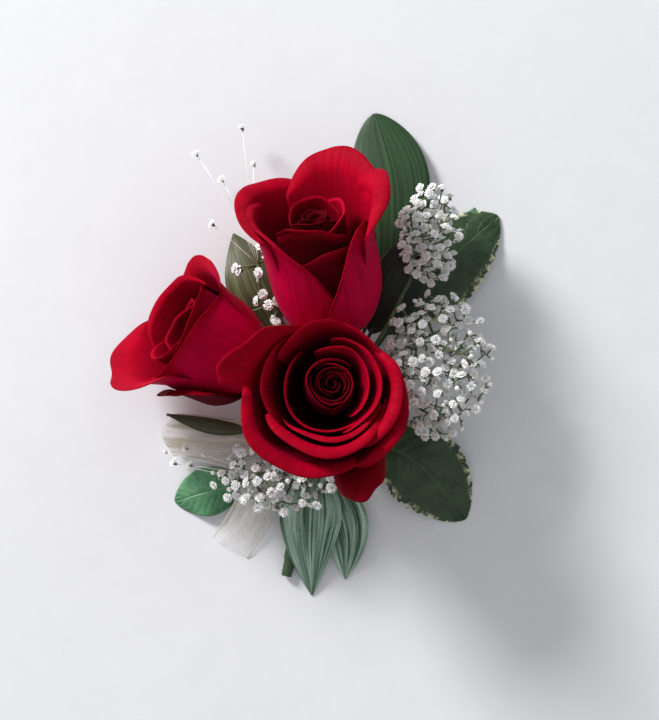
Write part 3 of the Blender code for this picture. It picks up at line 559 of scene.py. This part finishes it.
def sheet_part(grid, thickness, seed, along=None):
    """A closed sheet round a grid of points. along has a value for each row, else it runs from 0 to 1."""
    grid = np.asarray(grid, float)
    rows, columns = grid.shape[:2]
    normal = np.cross(np.gradient(grid, axis=1), np.gradient(grid, axis=0))
    normal /= np.maximum(np.linalg.norm(normal, axis=2, keepdims=True), 1e-9)
    half = np.broadcast_to(np.asarray(thickness) / 2, (rows, columns))[..., None]
    points = np.concatenate([(grid + normal * half).reshape(-1, 3), (grid - normal * half).reshape(-1, 3)])
    index = np.arange(rows * columns).reshape(rows, columns)
    back = rows * columns
    a, b, c, d = index[:-1, :-1], index[:-1, 1:], index[1:, :-1], index[1:, 1:]
    front = np.stack([a, b, d, c], -1).reshape(-1, 4)
    rim = np.concatenate([index[0, :], index[1:, -1], index[-1, -2::-1], index[-2:0:-1, 0]])
    after = np.roll(rim, -1)
    edge = np.stack([rim, rim + back, after + back, after], -1)
    faces = np.concatenate([front, front[:, ::-1] + back, edge])
    if along is None:
        along = np.linspace(0, 1, rows)
    mark = np.zeros((rows, columns, 3))
    mark[..., 0] = along[:, None]
    mark[..., 1] = np.linspace(-1, 1, columns)[None, :]
    mark[..., 2] = seed
    mark = mark.reshape(-1, 3)
    side = np.concatenate([np.ones(back), np.zeros(back)])
    return points, faces, np.concatenate([mark, mark]), side


def tube_part(line, radii, sides, seed, squash=1.0, floor=None):
    """A closed tube along a line, its radii given once, by ring, or by point of each ring.

    squash flattens it, and floor keeps its points above that height."""
    line = [Vector(p) for p in line]
    radii = radii if hasattr(radii, "__len__") else [radii] * len(line)
    side = (line[1] - line[0]).cross(Vector((0, 0, 1)))
    side = side if side.length > 0.01 else Vector((1, 0, 0))
    points, marks = [], []
    reached = 0.0
    for k, p in enumerate(line):
        ahead = (line[min(k + 1, len(line) - 1)] - line[max(k - 1, 0)]).normalized()
        side = (side - ahead * side.dot(ahead)).normalized()
        up = ahead.cross(side)
        reached += (p - line[max(k - 1, 0)]).length
        for n in range(sides):
            turn = 2 * math.pi * n / sides
            radius = radii[k][n] if hasattr(radii[k], "__len__") else radii[k]
            spot = p + side * math.cos(turn) * radius + up * math.sin(turn) * radius * squash
            if floor is not None:
                spot.z = max(spot.z, floor)
            points.append(spot)
            marks.append((reached / 20.0, 2.0 * n / sides - 1.0, seed))
    faces = []
    for k in range(len(line) - 1):
        for n in range(sides):
            a, b = k * sides + n, k * sides + (n + 1) % sides
            faces.append((a, b, b + sides, a + sides))
    for k, turned_round in ((0, True), (len(line) - 1, False)):
        centre = len(points)
        points.append(line[k])
        marks.append((marks[k * sides][0], 0.0, seed))
        for n in range(sides):
            a, b = k * sides + n, k * sides + (n + 1) % sides
            faces.append((centre, b, a) if turned_round else (centre, a, b))
    return np.array(points, float), faces, np.array(marks), np.ones(len(points))


def turned_part(profile, sides, seed, lobes=0, depth=0.0):
    """A solid turned round Z from (radius, height) points, bottom to top, on the axis at both ends."""
    profile = np.array(profile, float)
    angle = np.linspace(0, 2 * math.pi, sides, endpoint=False)
    swell = 1.0 + depth * np.cos(lobes * angle)
    rings = []
    for r, z in profile[1:-1]:
        rings.append((r * swell * np.cos(angle), r * swell * np.sin(angle), np.full(sides, z)))
    points = [(0, 0, profile[0][1])] + [p for ring in rings for p in zip(*ring)] + [(0, 0, profile[-1][1])]
    marks = [(0.0, 0.0, seed)]
    for k in range(len(rings)):
        marks += [(k / len(rings), 2.0 * n / sides - 1.0, seed) for n in range(sides)]
    marks.append((1.0, 0.0, seed))
    faces = []
    top = 1 + (len(rings) - 1) * sides
    for n in range(sides):
        m = (n + 1) % sides
        faces += [(0, 1 + m, 1 + n), (top + n, top + m, len(points) - 1)]
        for k in range(len(rings) - 1):
            a, b = 1 + k * sides + n, 1 + k * sides + m
            faces.append((a, b, b + sides, a + sides))
    return np.array(points, float), faces, np.array(marks, float), np.ones(len(points))


def moved(part, matrix):
    """A part turned and shifted by a 4 by 4 matrix in millimetres."""
    points = np.c_[part[0], np.ones(len(part[0]))] @ np.array(matrix).T
    return (points[:, :3], *part[1:])


def piece(name, parts, finish, node):
    """One object from parts. It rides on the body, and stands for a node where one is named."""
    starts = np.cumsum([0] + [len(p[0]) for p in parts])
    points = np.concatenate([p[0] for p in parts]) * MM
    faces = [tuple(int(i) + int(s) for i in f) for p, s in zip(parts, starts) for f in p[1]]
    mesh = bpy.data.meshes.new(name)
    mesh.from_pydata(points.tolist(), [], faces)
    mark = mesh.attributes.new("mark", "FLOAT_VECTOR", "POINT")
    mark.data.foreach_set("vector", np.concatenate([p[2] for p in parts]).astype(np.float32).ravel())
    side = mesh.attributes.new("side", "FLOAT", "POINT")
    side.data.foreach_set("value", np.concatenate([p[3] for p in parts]).astype(np.float32))
    mesh.materials.append(finish)
    mesh.shade_smooth()
    mesh.update()
    made = bpy.data.objects.new(name, mesh)
    bpy.context.scene.collection.objects.link(made)
    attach(made, "root")
    if node:
        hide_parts(node)
    return made


def curve_through(points, count):
    """Evenly shared points of a smooth curve through the given ones."""
    points = [Vector(p) for p in points]
    ends = [points[0] * 2 - points[1], *points, points[-1] * 2 - points[-2]]
    made = []
    for n in range(count):
        share = n / (count - 1) * (len(points) - 1)
        k = min(int(share), len(points) - 2)
        t = share - k
        p0, p1, p2, p3 = ends[k : k + 4]
        bend = 2 * p0 - 5 * p1 + 4 * p2 - p3
        made.append(0.5 * (2 * p1 + (p2 - p0) * t + bend * t * t + (3 * p1 - p0 - 3 * p2 + p3) * t ** 3))
    return made


# Roses.


def petal_line(radius, height, flare, lip, roll, crown):
    """(r, z) points of a petal from its root up its wall, cut at a share of the wall, then round its lip."""
    wall = [
        (1.2 + 0.10 * radius, 0.0, 0.8), (1.0 + 0.60 * radius, 0.0, 0.12 * height),
        (0.95 * radius, 0.0, 0.36 * height), (radius * (1.02 + 0.15 * flare), 0.0, 0.66 * height),
        (radius * (1.0 + flare), 0.0, height),
    ]
    wall = np.array(curve_through(wall, 33))[:, (0, 2)]
    marks = np.r_[0.0, np.cumsum(np.linalg.norm(np.diff(wall, axis=0), axis=1))]
    at = np.linspace(0, 1, BODY_ROWS) * marks[-1] * crown
    line = np.c_[np.interp(at, marks, wall[:, 0]), np.interp(at, marks, wall[:, 1])]
    step = line[-1] - line[-2]
    lean = math.atan2(step[0], step[1]) + np.radians(roll) * (np.arange(LIP_ROWS) + 0.5) / LIP_ROWS
    turned = np.cumsum(np.c_[np.sin(lean), np.cos(lean)], axis=0) * lip / LIP_ROWS
    return np.concatenate([line, line[-1] + turned])


def petal_grid(rose, direction, radius, height, spread, flare, lip, roll, drop, shift, wind, seed):
    """The middle surface of one petal, from its root to its rolled margin, as in the part's source.

    Walls of a smaller rim lie inside those of a larger one, so petals stay clear of each other."""
    draw = random.Random(f"petal {seed}")
    phases = [draw.uniform(*ANY_TURN) for _ in range(4)]
    lean_to, lean_by = rose["open_side"]
    grid = np.zeros((BODY_ROWS + LIP_ROWS, PETAL_COLUMNS, 3))
    along = np.r_[np.linspace(0, 0.86, BODY_ROWS), np.linspace(0.86, 1, LIP_ROWS + 1)[1:]]
    for j, t in enumerate(np.linspace(-1, 1, PETAL_COLUMNS)):
        away = abs(t - shift) / (1.0 + abs(shift))
        wave = 0.42 * math.sin(2.6 * t + phases[0]) + 0.20 * math.sin(6.5 * t + phases[1])
        crown = 1.0 - drop * away ** 2.2 + 0.012 * math.sin(4.0 * t + phases[2])
        crown += 0.006 * math.sin(10.0 * t + phases[3])
        taper = 0.92 * away ** (2.8 - 2.1 * abs(shift))
        lip_here = lip * (1.0 - taper) * (1.0 + 0.06 * math.sin(9.0 * t + phases[2]))
        roll_here = roll * (0.88 + 0.30 * away * away)
        flare_here = flare * (1.0 - abs(shift) * away)
        line = petal_line(radius + wind * t, height, flare_here, lip_here, roll_here, crown)
        rise = np.clip(line[:, 1] / height, 0, 1.2)
        r = line[:, 0] + wave * smooth(rise / 0.9) * min(radius / 9.0, 1.0)
        r = r + 0.05 * radius * smooth((abs(t) - 0.6) / 0.4) * smooth((rise - 0.3) / 0.5)
        z = line[:, 1] + 0.3 * math.sin(3.4 * t + phases[1]) * smooth(rise / 0.9)
        angle = math.radians(direction) + t * math.radians(spread) * (0.78 + 0.22 * smooth(rise / 0.5))
        lean = lean_by * min(radius / 20.0, 1.1) ** 2 * smooth(rise) * rise
        grid[:, j, 0] = r * np.cos(angle) + lean * math.cos(math.radians(lean_to))
        grid[:, j, 1] = r * np.sin(angle) + lean * math.sin(math.radians(lean_to))
        grid[:, j, 2] = z
    return grid, along


def petals_of(rose):
    """The tight heart on a golden spiral, then the outer petals, each with the wind of its rim."""
    count, rim, height = rose["heart"]
    made = []
    for n in range(count):
        share = n / (count - 1)
        radius = mix(1.0, rim, share ** 0.85)
        spread, flare, lip = 112 - 24 * (n % 3 == 1), -0.12 + 0.05 * (n % 2), 0.7 + 0.5 * (n % 2)
        direction, top = 20.0 + n * GOLDEN_ANGLE, height - 1.5 + 1.5 * share
        made.append((direction, radius, top, spread, flare, lip, 50, 0.06, 0.0, HEART_WIND))
    return made + [(*petal, PETAL_WIND) for petal in rose["petals"]]


def place_of(rose):
    """The matrix, in millimetres, of a rose's foot with its Z axis along the rose."""
    heading, lift = math.radians(rose["heading"]), math.radians(rose["lift"])
    axis = Vector((math.cos(lift) * math.cos(heading), math.cos(lift) * math.sin(heading), math.sin(lift)))
    side = Vector((math.sin(heading), -math.cos(heading), 0.0))
    turn = Matrix((side, axis.cross(side), axis)).transposed()
    return Matrix.Translation(Vector(rose["foot"])) @ turn.to_4x4()


def bloom(name, rose, finish):
    """All the petals of a rose."""
    place = place_of(rose)
    parts = []
    for number, petal in enumerate(petals_of(rose)):
        radius, height = petal[1:3]
        grid, along = petal_grid(rose, *petal, f"{name} {number}")
        margin = np.minimum(1.0, (1.0 - along[:, None]) * 6 + 0.35)
        sides = np.minimum(1.0, (1.0 - np.abs(np.linspace(-1, 1, PETAL_COLUMNS)))[None, :] * 5 + 0.4)
        thickness = PETAL_THICKNESS * margin * sides + MARGIN_THICKNESS
        # depth and outer put painted shade on the heart, on the outer faces of inner petals and on the low
        # guard petals.
        depth = mix(HEART_SHADE, 1.0, float(smooth((radius - HEART_RIM) / 4.5)))
        outer = 0.5 + 0.5 * float(smooth((radius - INNER_RIM) / 3.0))
        if height < GUARD_HEIGHT:
            depth, outer = GUARD_SHADE, 0.5
        points, faces, marks, side = sheet_part(grid, thickness, number * 0.37, along * depth)
        parts.append(moved((points, faces, marks, side * outer), place))
    return piece(name + "_bloom", parts, finish, name + "_petals")


def sepal_grid(direction, droop, length):
    """The middle surface of one sepal, cupped and drawn out to a thin point."""
    rows, columns = 16, 7
    slim = (length / 22.0) ** 0.5
    out = Vector((math.cos(math.radians(direction)), math.sin(math.radians(direction)), 0.0))
    side = Vector((-out.y, out.x, 0.0))
    grid = np.zeros((rows, columns, 3))
    radius, height, last = HIP_RADIUS - 1.4, -1.6, 0.0
    for i, share in enumerate(np.linspace(0, 1, rows)):
        lean = math.radians(92.0 + droop * share)
        radius += math.sin(lean) * length * (share - last)
        height += math.cos(lean) * length * (share - last)
        last = share
        width = np.interp(share, (0.0, 0.25, 0.45, 0.7, 0.9, 1.0), (2.0, 2.7, 2.2, 1.3, 0.6, 0.15)) * slim
        for j, t in enumerate(np.linspace(-1, 1, columns)):
            cup = 0.30 * t * t * width
            grid[i, j] = out * radius + side * t * width + Vector((0, 0, height + cup - 0.2 * width))
    return grid


def calyx(name, rose, finish):
    """The hip, its sepals and the stem."""
    place = place_of(rose)
    foot = -HIP_HEIGHT
    hip = [
        (0.0, foot), (1.5, foot + 0.1), (2.3, foot + 0.8), (3.4, foot + 2.0), (4.3, foot + 3.6),
        (4.75, foot + 5.2), (HIP_RADIUS, foot + 6.4), (4.5, foot + 7.2), (3.4, -0.1), (0.0, -0.1),
    ]
    parts = [turned_part(hip, 30, 0.1, 5, 0.03)]
    for n, (droop, length) in enumerate(rose["sepals"]):
        parts.append(sheet_part(sepal_grid(36.0 + 72.0 * n, droop, length), 0.4, n * 0.31))
    parts = [moved(p, place) for p in parts]
    line = [place @ Vector((0, 0, foot + 1.2)), place @ Vector((0, 0, foot - 1.0))]
    line = curve_through(line + [Vector(p) for p in rose["stem"]], 28)
    parts.append(tube_part(line, STEM_RADIUS, 16, 0.7))
    return piece(name + "_hip_and_stem", parts, finish, name + "_calyx")


# Leaves.


def leaf_outline(kind, share):
    """Half width of a leaf, as a share of the widest, from base 0 to tip 1."""
    bend, full = OUTLINES[kind]
    return max(math.sin(math.pi * min(share, 1.0) ** bend), 0.0) ** full


def leaf_part(line, half_width, kind, fall, seed):
    """A blade along its rib, with its veins pressed in, and its margin toothed where the kind has teeth."""
    rib = curve_through(line, LEAF_ROWS)
    grid = np.zeros((LEAF_ROWS, LEAF_COLUMNS, 3))
    phase = random.Random(f"leaf {seed}").uniform(*ANY_TURN)
    teeth = sum((b - a).length for a, b in zip(rib, rib[1:])) / TOOTH_RUN
    across = np.linspace(-1, 1, LEAF_COLUMNS)
    for i, p in enumerate(rib):
        share = i / (LEAF_ROWS - 1)
        ahead = (rib[min(i + 1, LEAF_ROWS - 1)] - rib[max(i - 1, 0)]).normalized()
        side = ahead.cross(Vector((0, 0, 1))).normalized()
        up = side.cross(ahead)
        width = max(half_width * leaf_outline(kind, share), LEAST_HALF_WIDTH)
        tooth = 0.0
        if kind == "toothed":
            tooth = ((share * teeth) % 1.0 - 0.5) * 0.09 * smooth(share * 8) * smooth((1 - share) * 8)
        for j, t in enumerate(across):
            reach = t * (width * (1.0 + tooth * smooth((abs(t) - 0.7) / 0.3)))
            wave = 0.05 * width * math.sin(7.0 * share + 2.0 * t) * abs(t)
            wave += 0.035 * width * math.sin(15.0 * share + phase + 3.0 * t) * abs(t) ** 3
            groove = -0.30 * math.exp(-((t / 0.06) ** 2)) * (1.0 - share * 0.7)
            if kind in ("toothed", "oval"):
                vein = abs(math.sin((share - VEIN_SLANT * abs(t)) * VEIN_RATE))
                groove += 0.16 * vein * smooth(abs(t) * 5) * smooth((1 - abs(t)) * 4)
            else:
                groove += 0.07 * math.cos(9.0 * math.pi * t) * (1.0 - abs(t))
            grid[i, j] = p + side * reach + up * (wave + groove - fall * t * t * width)
    low = grid[:, :, 2].min() - 0.25
    if low < REST_REACH:
        grid[:, :, 2] -= low
    ridge = np.exp(-((across / 0.05) ** 2))[None, :] * np.linspace(1, 0.2, LEAF_ROWS)[:, None]
    return sheet_part(grid, LEAF_THICKNESS + RIB_THICKNESS * ridge, seed)


def leaf(name, line, base, half_width, kind, fall, finish):
    """A leaf blade on its petiole."""
    blade = leaf_part(line[base:], half_width, kind, fall, len(name) * 0.13)
    stalk = curve_through(line[: base + 1], 16)
    stalk.append(stalk[-1].lerp(Vector(line[base + 1]), 0.12))
    parts = [blade, tube_part(stalk, np.linspace(0.75, 0.55, len(stalk)).tolist(), 10, 0.5)]
    return piece(name + "_blade", parts, finish, name)


# Baby's breath.


def floret_template(draw):
    """A double floret 3 mm across, facing up: rings of small notched petals."""
    parts = []
    for count, length, lean, width in FLORET_RINGS:
        start = draw.uniform(*ANY_TURN)
        for n in range(count):
            turn = start + 2 * math.pi * (n + draw.uniform(-0.15, 0.15)) / count
            rise = math.radians(lean + draw.uniform(-9, 9))
            out = Vector((math.cos(turn), math.sin(turn), 0))
            side = Vector((-out.y, out.x, 0))
            grid = np.zeros((4, 3, 3))
            for i, (s, wide, notch) in enumerate(FLORET_ROWS):
                bend = rise * (0.5 + 0.6 * s)
                spot = out * (0.12 + length * s * math.sin(bend))
                spot += Vector((0, 0, length * s * math.cos(bend) - 0.2))
                for j, t in enumerate((-1, 0, 1)):
                    cut = out * (-notch * length * (1 - abs(t)))
                    grid[i, j] = spot + side * t * (width * wide) + cut + Vector((0, 0, 0.14 * abs(t)))
            parts.append(sheet_part(grid, 0.10, draw.random()))
    return parts


def bud_template():
    part = turned_part(BUD, 10, 0.3, 5, 0.05)
    part[2][:, 0] = 0.45 + 0.4 * part[2][:, 0]
    return [part]


def facing(centre, ahead, size, spin):
    """The matrix that puts a template at a place with its Z axis along a direction."""
    turn = Vector(ahead).to_track_quat("Z", "Y").to_matrix().to_4x4()
    return Matrix.Translation(centre) @ turn @ Matrix.Rotation(spin, 4, "Z") @ Matrix.Scale(size, 4)


def cloud_points(draw, centre, radii, number, spacing):
    """Places in an ellipsoid, at least a spacing apart."""
    places = []
    for _ in range(number * 80):
        p = Vector((draw.uniform(-1, 1), draw.uniform(-1, 1), draw.uniform(-0.8, 1)))
        if p.length > 1 or len(places) == number:
            continue
        spot = Vector(centre[i] + p[i] * radii[i] for i in range(3))
        if all((spot - q).length > spacing for q in places):
            places.append(spot)
    return places


def free(tree, start, end, room):
    """Whether a twig's straight line keeps its room to the pieces already made."""
    span = end - start
    if tree.ray_cast(start, span.normalized(), span.length)[0] is not None:
        return False
    steps = max(int(span.length / 1.5), 1)
    return all(tree.find_nearest(start.lerp(end, n / steps))[3] > room for n in range(1, steps + 1))


def twig_line(start, end, draw):
    """A slightly bowed line."""
    sag = Vector((draw.uniform(-1, 1), draw.uniform(-1, 1), draw.uniform(-0.4, 1)))
    sag = sag * (end - start).length * 0.06
    shares = [n / (TWIG_POINTS - 1) for n in range(TWIG_POINTS)]
    return [start.lerp(end, share) + sag * math.sin(math.pi * share) for share in shares]


def flower(draw, root, spot, florets):
    """A floret or a bud at the end of a twig, leaning towards the light, and the cup that holds it."""
    tilt = Vector((draw.uniform(-1.3, 0.1), draw.uniform(-0.1, 1.2), 0.75))
    look = (spot - root).normalized() * 0.8 + tilt
    small = draw.random() < BUD_SHARE
    template = florets[-1] if small else draw.choice(florets[:-1])
    size = draw.uniform(0.9, 1.3) if small else draw.uniform(0.86, 1.12)
    turn = facing(spot, look, size, draw.uniform(*ANY_TURN))
    return [moved(p, turn) for p in template], moved(turned_part(CUP, 8, draw.random()), turn)


def spray(name, stem, clouds, tree, florets, finishes):
    """A branching stem with florets and buds, kept clear of the other pieces.

    In each cloud, twigs to a few of the places come first, and all others branch off those."""
    draw = random.Random(name)
    line = curve_through(stem, 16)
    stems = [tube_part(line, np.linspace(0.7, 0.5, len(line)).tolist(), 8, 0.2)]
    heads = []
    forks = line[4:]
    for centre, radii, number in clouds:
        loose, far = number <= LOOSE, number < FAR
        places = cloud_points(draw, centre, radii, number, LOOSE_SPACING if loose else DENSE_SPACING)
        places.sort(key=lambda p: (p - line[-1]).length)
        hubs = places if loose else places[:: max(number // HUBS, 1)]
        buds = []
        for order, spots in enumerate((hubs, [p for p in places if p not in hubs])):
            for spot in spots:
                roots = (line[5:] if loose else forks) if order == 0 else buds
                if tree.find_nearest(spot)[3] < FLORET_ROOM or not roots:
                    continue
                near = sorted(roots, key=lambda b: (b - spot).length)[:8]
                near = [b for b in near if (b - spot).length > SHORTEST_TWIG]
                root = next((b for b in near if free(tree, b, spot, TWIG_ROOM)), None)
                if root is None:
                    continue
                path = twig_line(root, spot, draw)
                thick = 0.10 if far else (0.42, 0.24)[order]
                radii_here = np.linspace(thick, min(thick, 0.2), TWIG_POINTS).tolist()
                (heads if far else stems).append(tube_part(path, radii_here, 6, draw.random()))
                steps = max(int((spot - root).length / 1.6), 2)
                buds += [root.lerp(spot, n / steps) for n in range(1, steps)]
                if order == 0:
                    forks += [root.lerp(spot, 0.5), root.lerp(spot, 0.8)]
                petals, cup = flower(draw, root, spot, florets)
                heads += petals
                stems.append(cup)
    piece(name + "_stems", stems, finishes[1], name)
    piece(name + "_florets", heads, finishes[0], None)


# The ribbon and the binding.


def wave_height(ratio):
    """Height of a sine, as a share of its wavelength over 2 pi, whose length is ratio times its run."""
    slopes = np.linspace(0, 8, 200)
    turn = np.linspace(0, 2 * math.pi, 200)
    lengths = [np.mean(np.sqrt(1 + (m * np.cos(turn)) ** 2)) for m in slopes]
    return float(np.interp(ratio, lengths, slopes))


def ribbon(name, line, closed, finish):
    """A strip of ribbon along a line, gathered into pleats where it meets the binding."""
    last = RIBBON_ROWS - 1
    path = curve_through(line, RIBBON_ROWS)
    across = None
    grid = np.zeros((RIBBON_ROWS, RIBBON_COLUMNS, 3))
    reached = [0.0]
    for a, b in zip(path, path[1:]):
        reached.append(reached[-1] + (b - a).length)
    length = reached[-1]
    outward = (path[RIBBON_ROWS // 2] - path[0]).normalized()
    for i, p in enumerate(path):
        ahead = (path[min(i + 1, last)] - path[max(i - 1, 0)]).normalized()
        across = across or ahead.cross(Vector((0, 0, 1))).normalized()
        across = (across - ahead * across.dot(ahead)).normalized()
        up = across.cross(ahead)
        share = reached[i] / length
        nearest = min(share, 1.0 - share) if closed else share
        width = mix(RIBBON_GATHER, RIBBON_WIDTH, float(smooth(nearest / SPREAD_SHARE)))
        height = wave_height(RIBBON_WIDTH * 0.995 / width) * width / (2 * math.pi * PLEATS)
        for j, t in enumerate(np.linspace(-1, 1, RIBBON_COLUMNS)):
            pleat = height * math.sin(math.pi * PLEATS * t)
            swell = 0.5 * math.cos(3.0 * t) + 0.25 * math.sin(0.3 * reached[i] + 2.5 * t)
            pull = END_PULL * t * t * math.exp(-((share - 0.5) / END_SHARE) ** 2) if closed else 0.0
            grid[i, j] = p + across * t * width / 2 + up * (pleat + swell) - outward * pull
    grid[:, :, 2] -= min(grid[:, :, 2].min() - 0.1, 0.0)
    strip = sheet_part(grid, RIBBON_THICKNESS, 0.4, np.array(reached))
    made = piece(name + "_cloth", [strip], finish, name)
    return made


def binding(finish):
    """The tape wound round the stems: overlapping turns, flat against the surface behind."""
    rings, sides = 190, 56
    line = curve_through(BINDING_LINE, rings)
    shares = np.linspace(0, len(BINDING_LINE) - 1, rings)
    widths = np.interp(shares, range(len(BINDING_HALF_WIDTHS)), BINDING_HALF_WIDTHS)
    reached = 0.0
    radii = []
    for k in range(rings):
        reached += (line[k] - line[max(k - 1, 0)]).length
        ring = []
        for n in range(sides):
            turn = n / sides
            phase = (reached / TAPE_PITCH + turn) % 1.0
            bulge = 0.18 * math.sin(2 * math.pi * turn * 5 + reached * 0.05)
            ring.append(widths[k] - 0.22 + TAPE_LAP * phase ** 1.4 + bulge * widths[k] / 5)
        radii.append(ring)
    parts = [tube_part(line, radii, sides, 0.3, BINDING_SQUASH, 0.0)]
    return piece("tape_wrap", parts, finish, "tape_binding")


def surface_of(objects):
    """A search tree of the objects' surfaces in millimetres."""
    points, faces = [], []
    for made in objects:
        first = len(points)
        points += [made.matrix_world @ v.co / MM for v in made.data.vertices]
        faces += [[first + i for i in p.vertices] for p in made.data.polygons]
    return BVHTree.FromPolygons(points, faces)


def main():
    stage()
    # Rose reds: the darkest is painted shade and also the tone of the veins, the second is painted light at
    # the lip, the third is the back.
    red = petal_material("petal_red", (0.075, 0.0003, 0.002), (0.47, 0.0005, 0.018), (0.52, 0.0006, 0.042))
    green = green_skin("calyx_green", (0.045, 0.11, 0.025), (0.16, 0.27, 0.07))
    stem_green = green_skin("breath_stem", (0.05, 0.09, 0.03), (0.16, 0.22, 0.09))
    white = floret_material()
    dark_stripe = striped_leaf("smooth_leaf", (0.012, 0.040, 0.012), (0.075, 0.15, 0.060), 26.0, 0.02)
    # The pale green of these leaves also colours the painted highlights of the broad patches.
    pale_stripe = striped_leaf("pale_striped_leaf", (0.014, 0.070, 0.028), (0.68, 0.92, 0.75), 10.0, 0.13)
    # The inner leaf's near-black greens are painted shade, the dark between the roses and the breath.
    painted_shade_leaf = striped_leaf("painted_shade_leaf", (0.004, 0.010, 0.003), (0.018, 0.032, 0.012), 24.0, 0.0)
    olive_leaf = striped_leaf("olive_leaf", (0.030, 0.034, 0.010), (0.19, 0.20, 0.09), 20.0, 0.06)
    toothed = veined_leaf("toothed_leaf", (0.012, 0.036, 0.013), (0.070, 0.125, 0.050), (0.80, 0.78, 0.50))
    blue = veined_leaf("blue_leaf", (0.045, 0.17, 0.080), (0.19, 0.42, 0.21))
    finishes = {
        "leaf_top": dark_stripe, "leaf_right": toothed, "leaf_behind": blue, "leaf_inner": painted_shade_leaf,
        "leaf_low_right": toothed, "leaf_bottom": pale_stripe, "leaf_bottom_back": pale_stripe,
        "leaf_low_left": blue, "leaf_thin": olive_leaf, "leaf_high_left": olive_leaf,
    }
    made = [binding(tape_material())]
    for name, rose in ROSES.items():
        made += [bloom(name, rose, red), calyx(name, rose, green)]
    for name, (base, half_width, kind, fall, line) in LEAVES.items():
        made.append(leaf(name, line, base, half_width, kind, fall, finishes[name]))
    cloth = organza()
    for name, (line, closed) in RIBBONS.items():
        made.append(ribbon(name, line, closed, cloth))
    tree = surface_of(made)
    draw = random.Random("florets")
    florets = [floret_template(draw) for _ in range(4)] + [bud_template()]
    for name, (stem, clouds) in SPRAYS.items():
        spray(name, stem, clouds, tree, florets, (white, stem_green))


main()
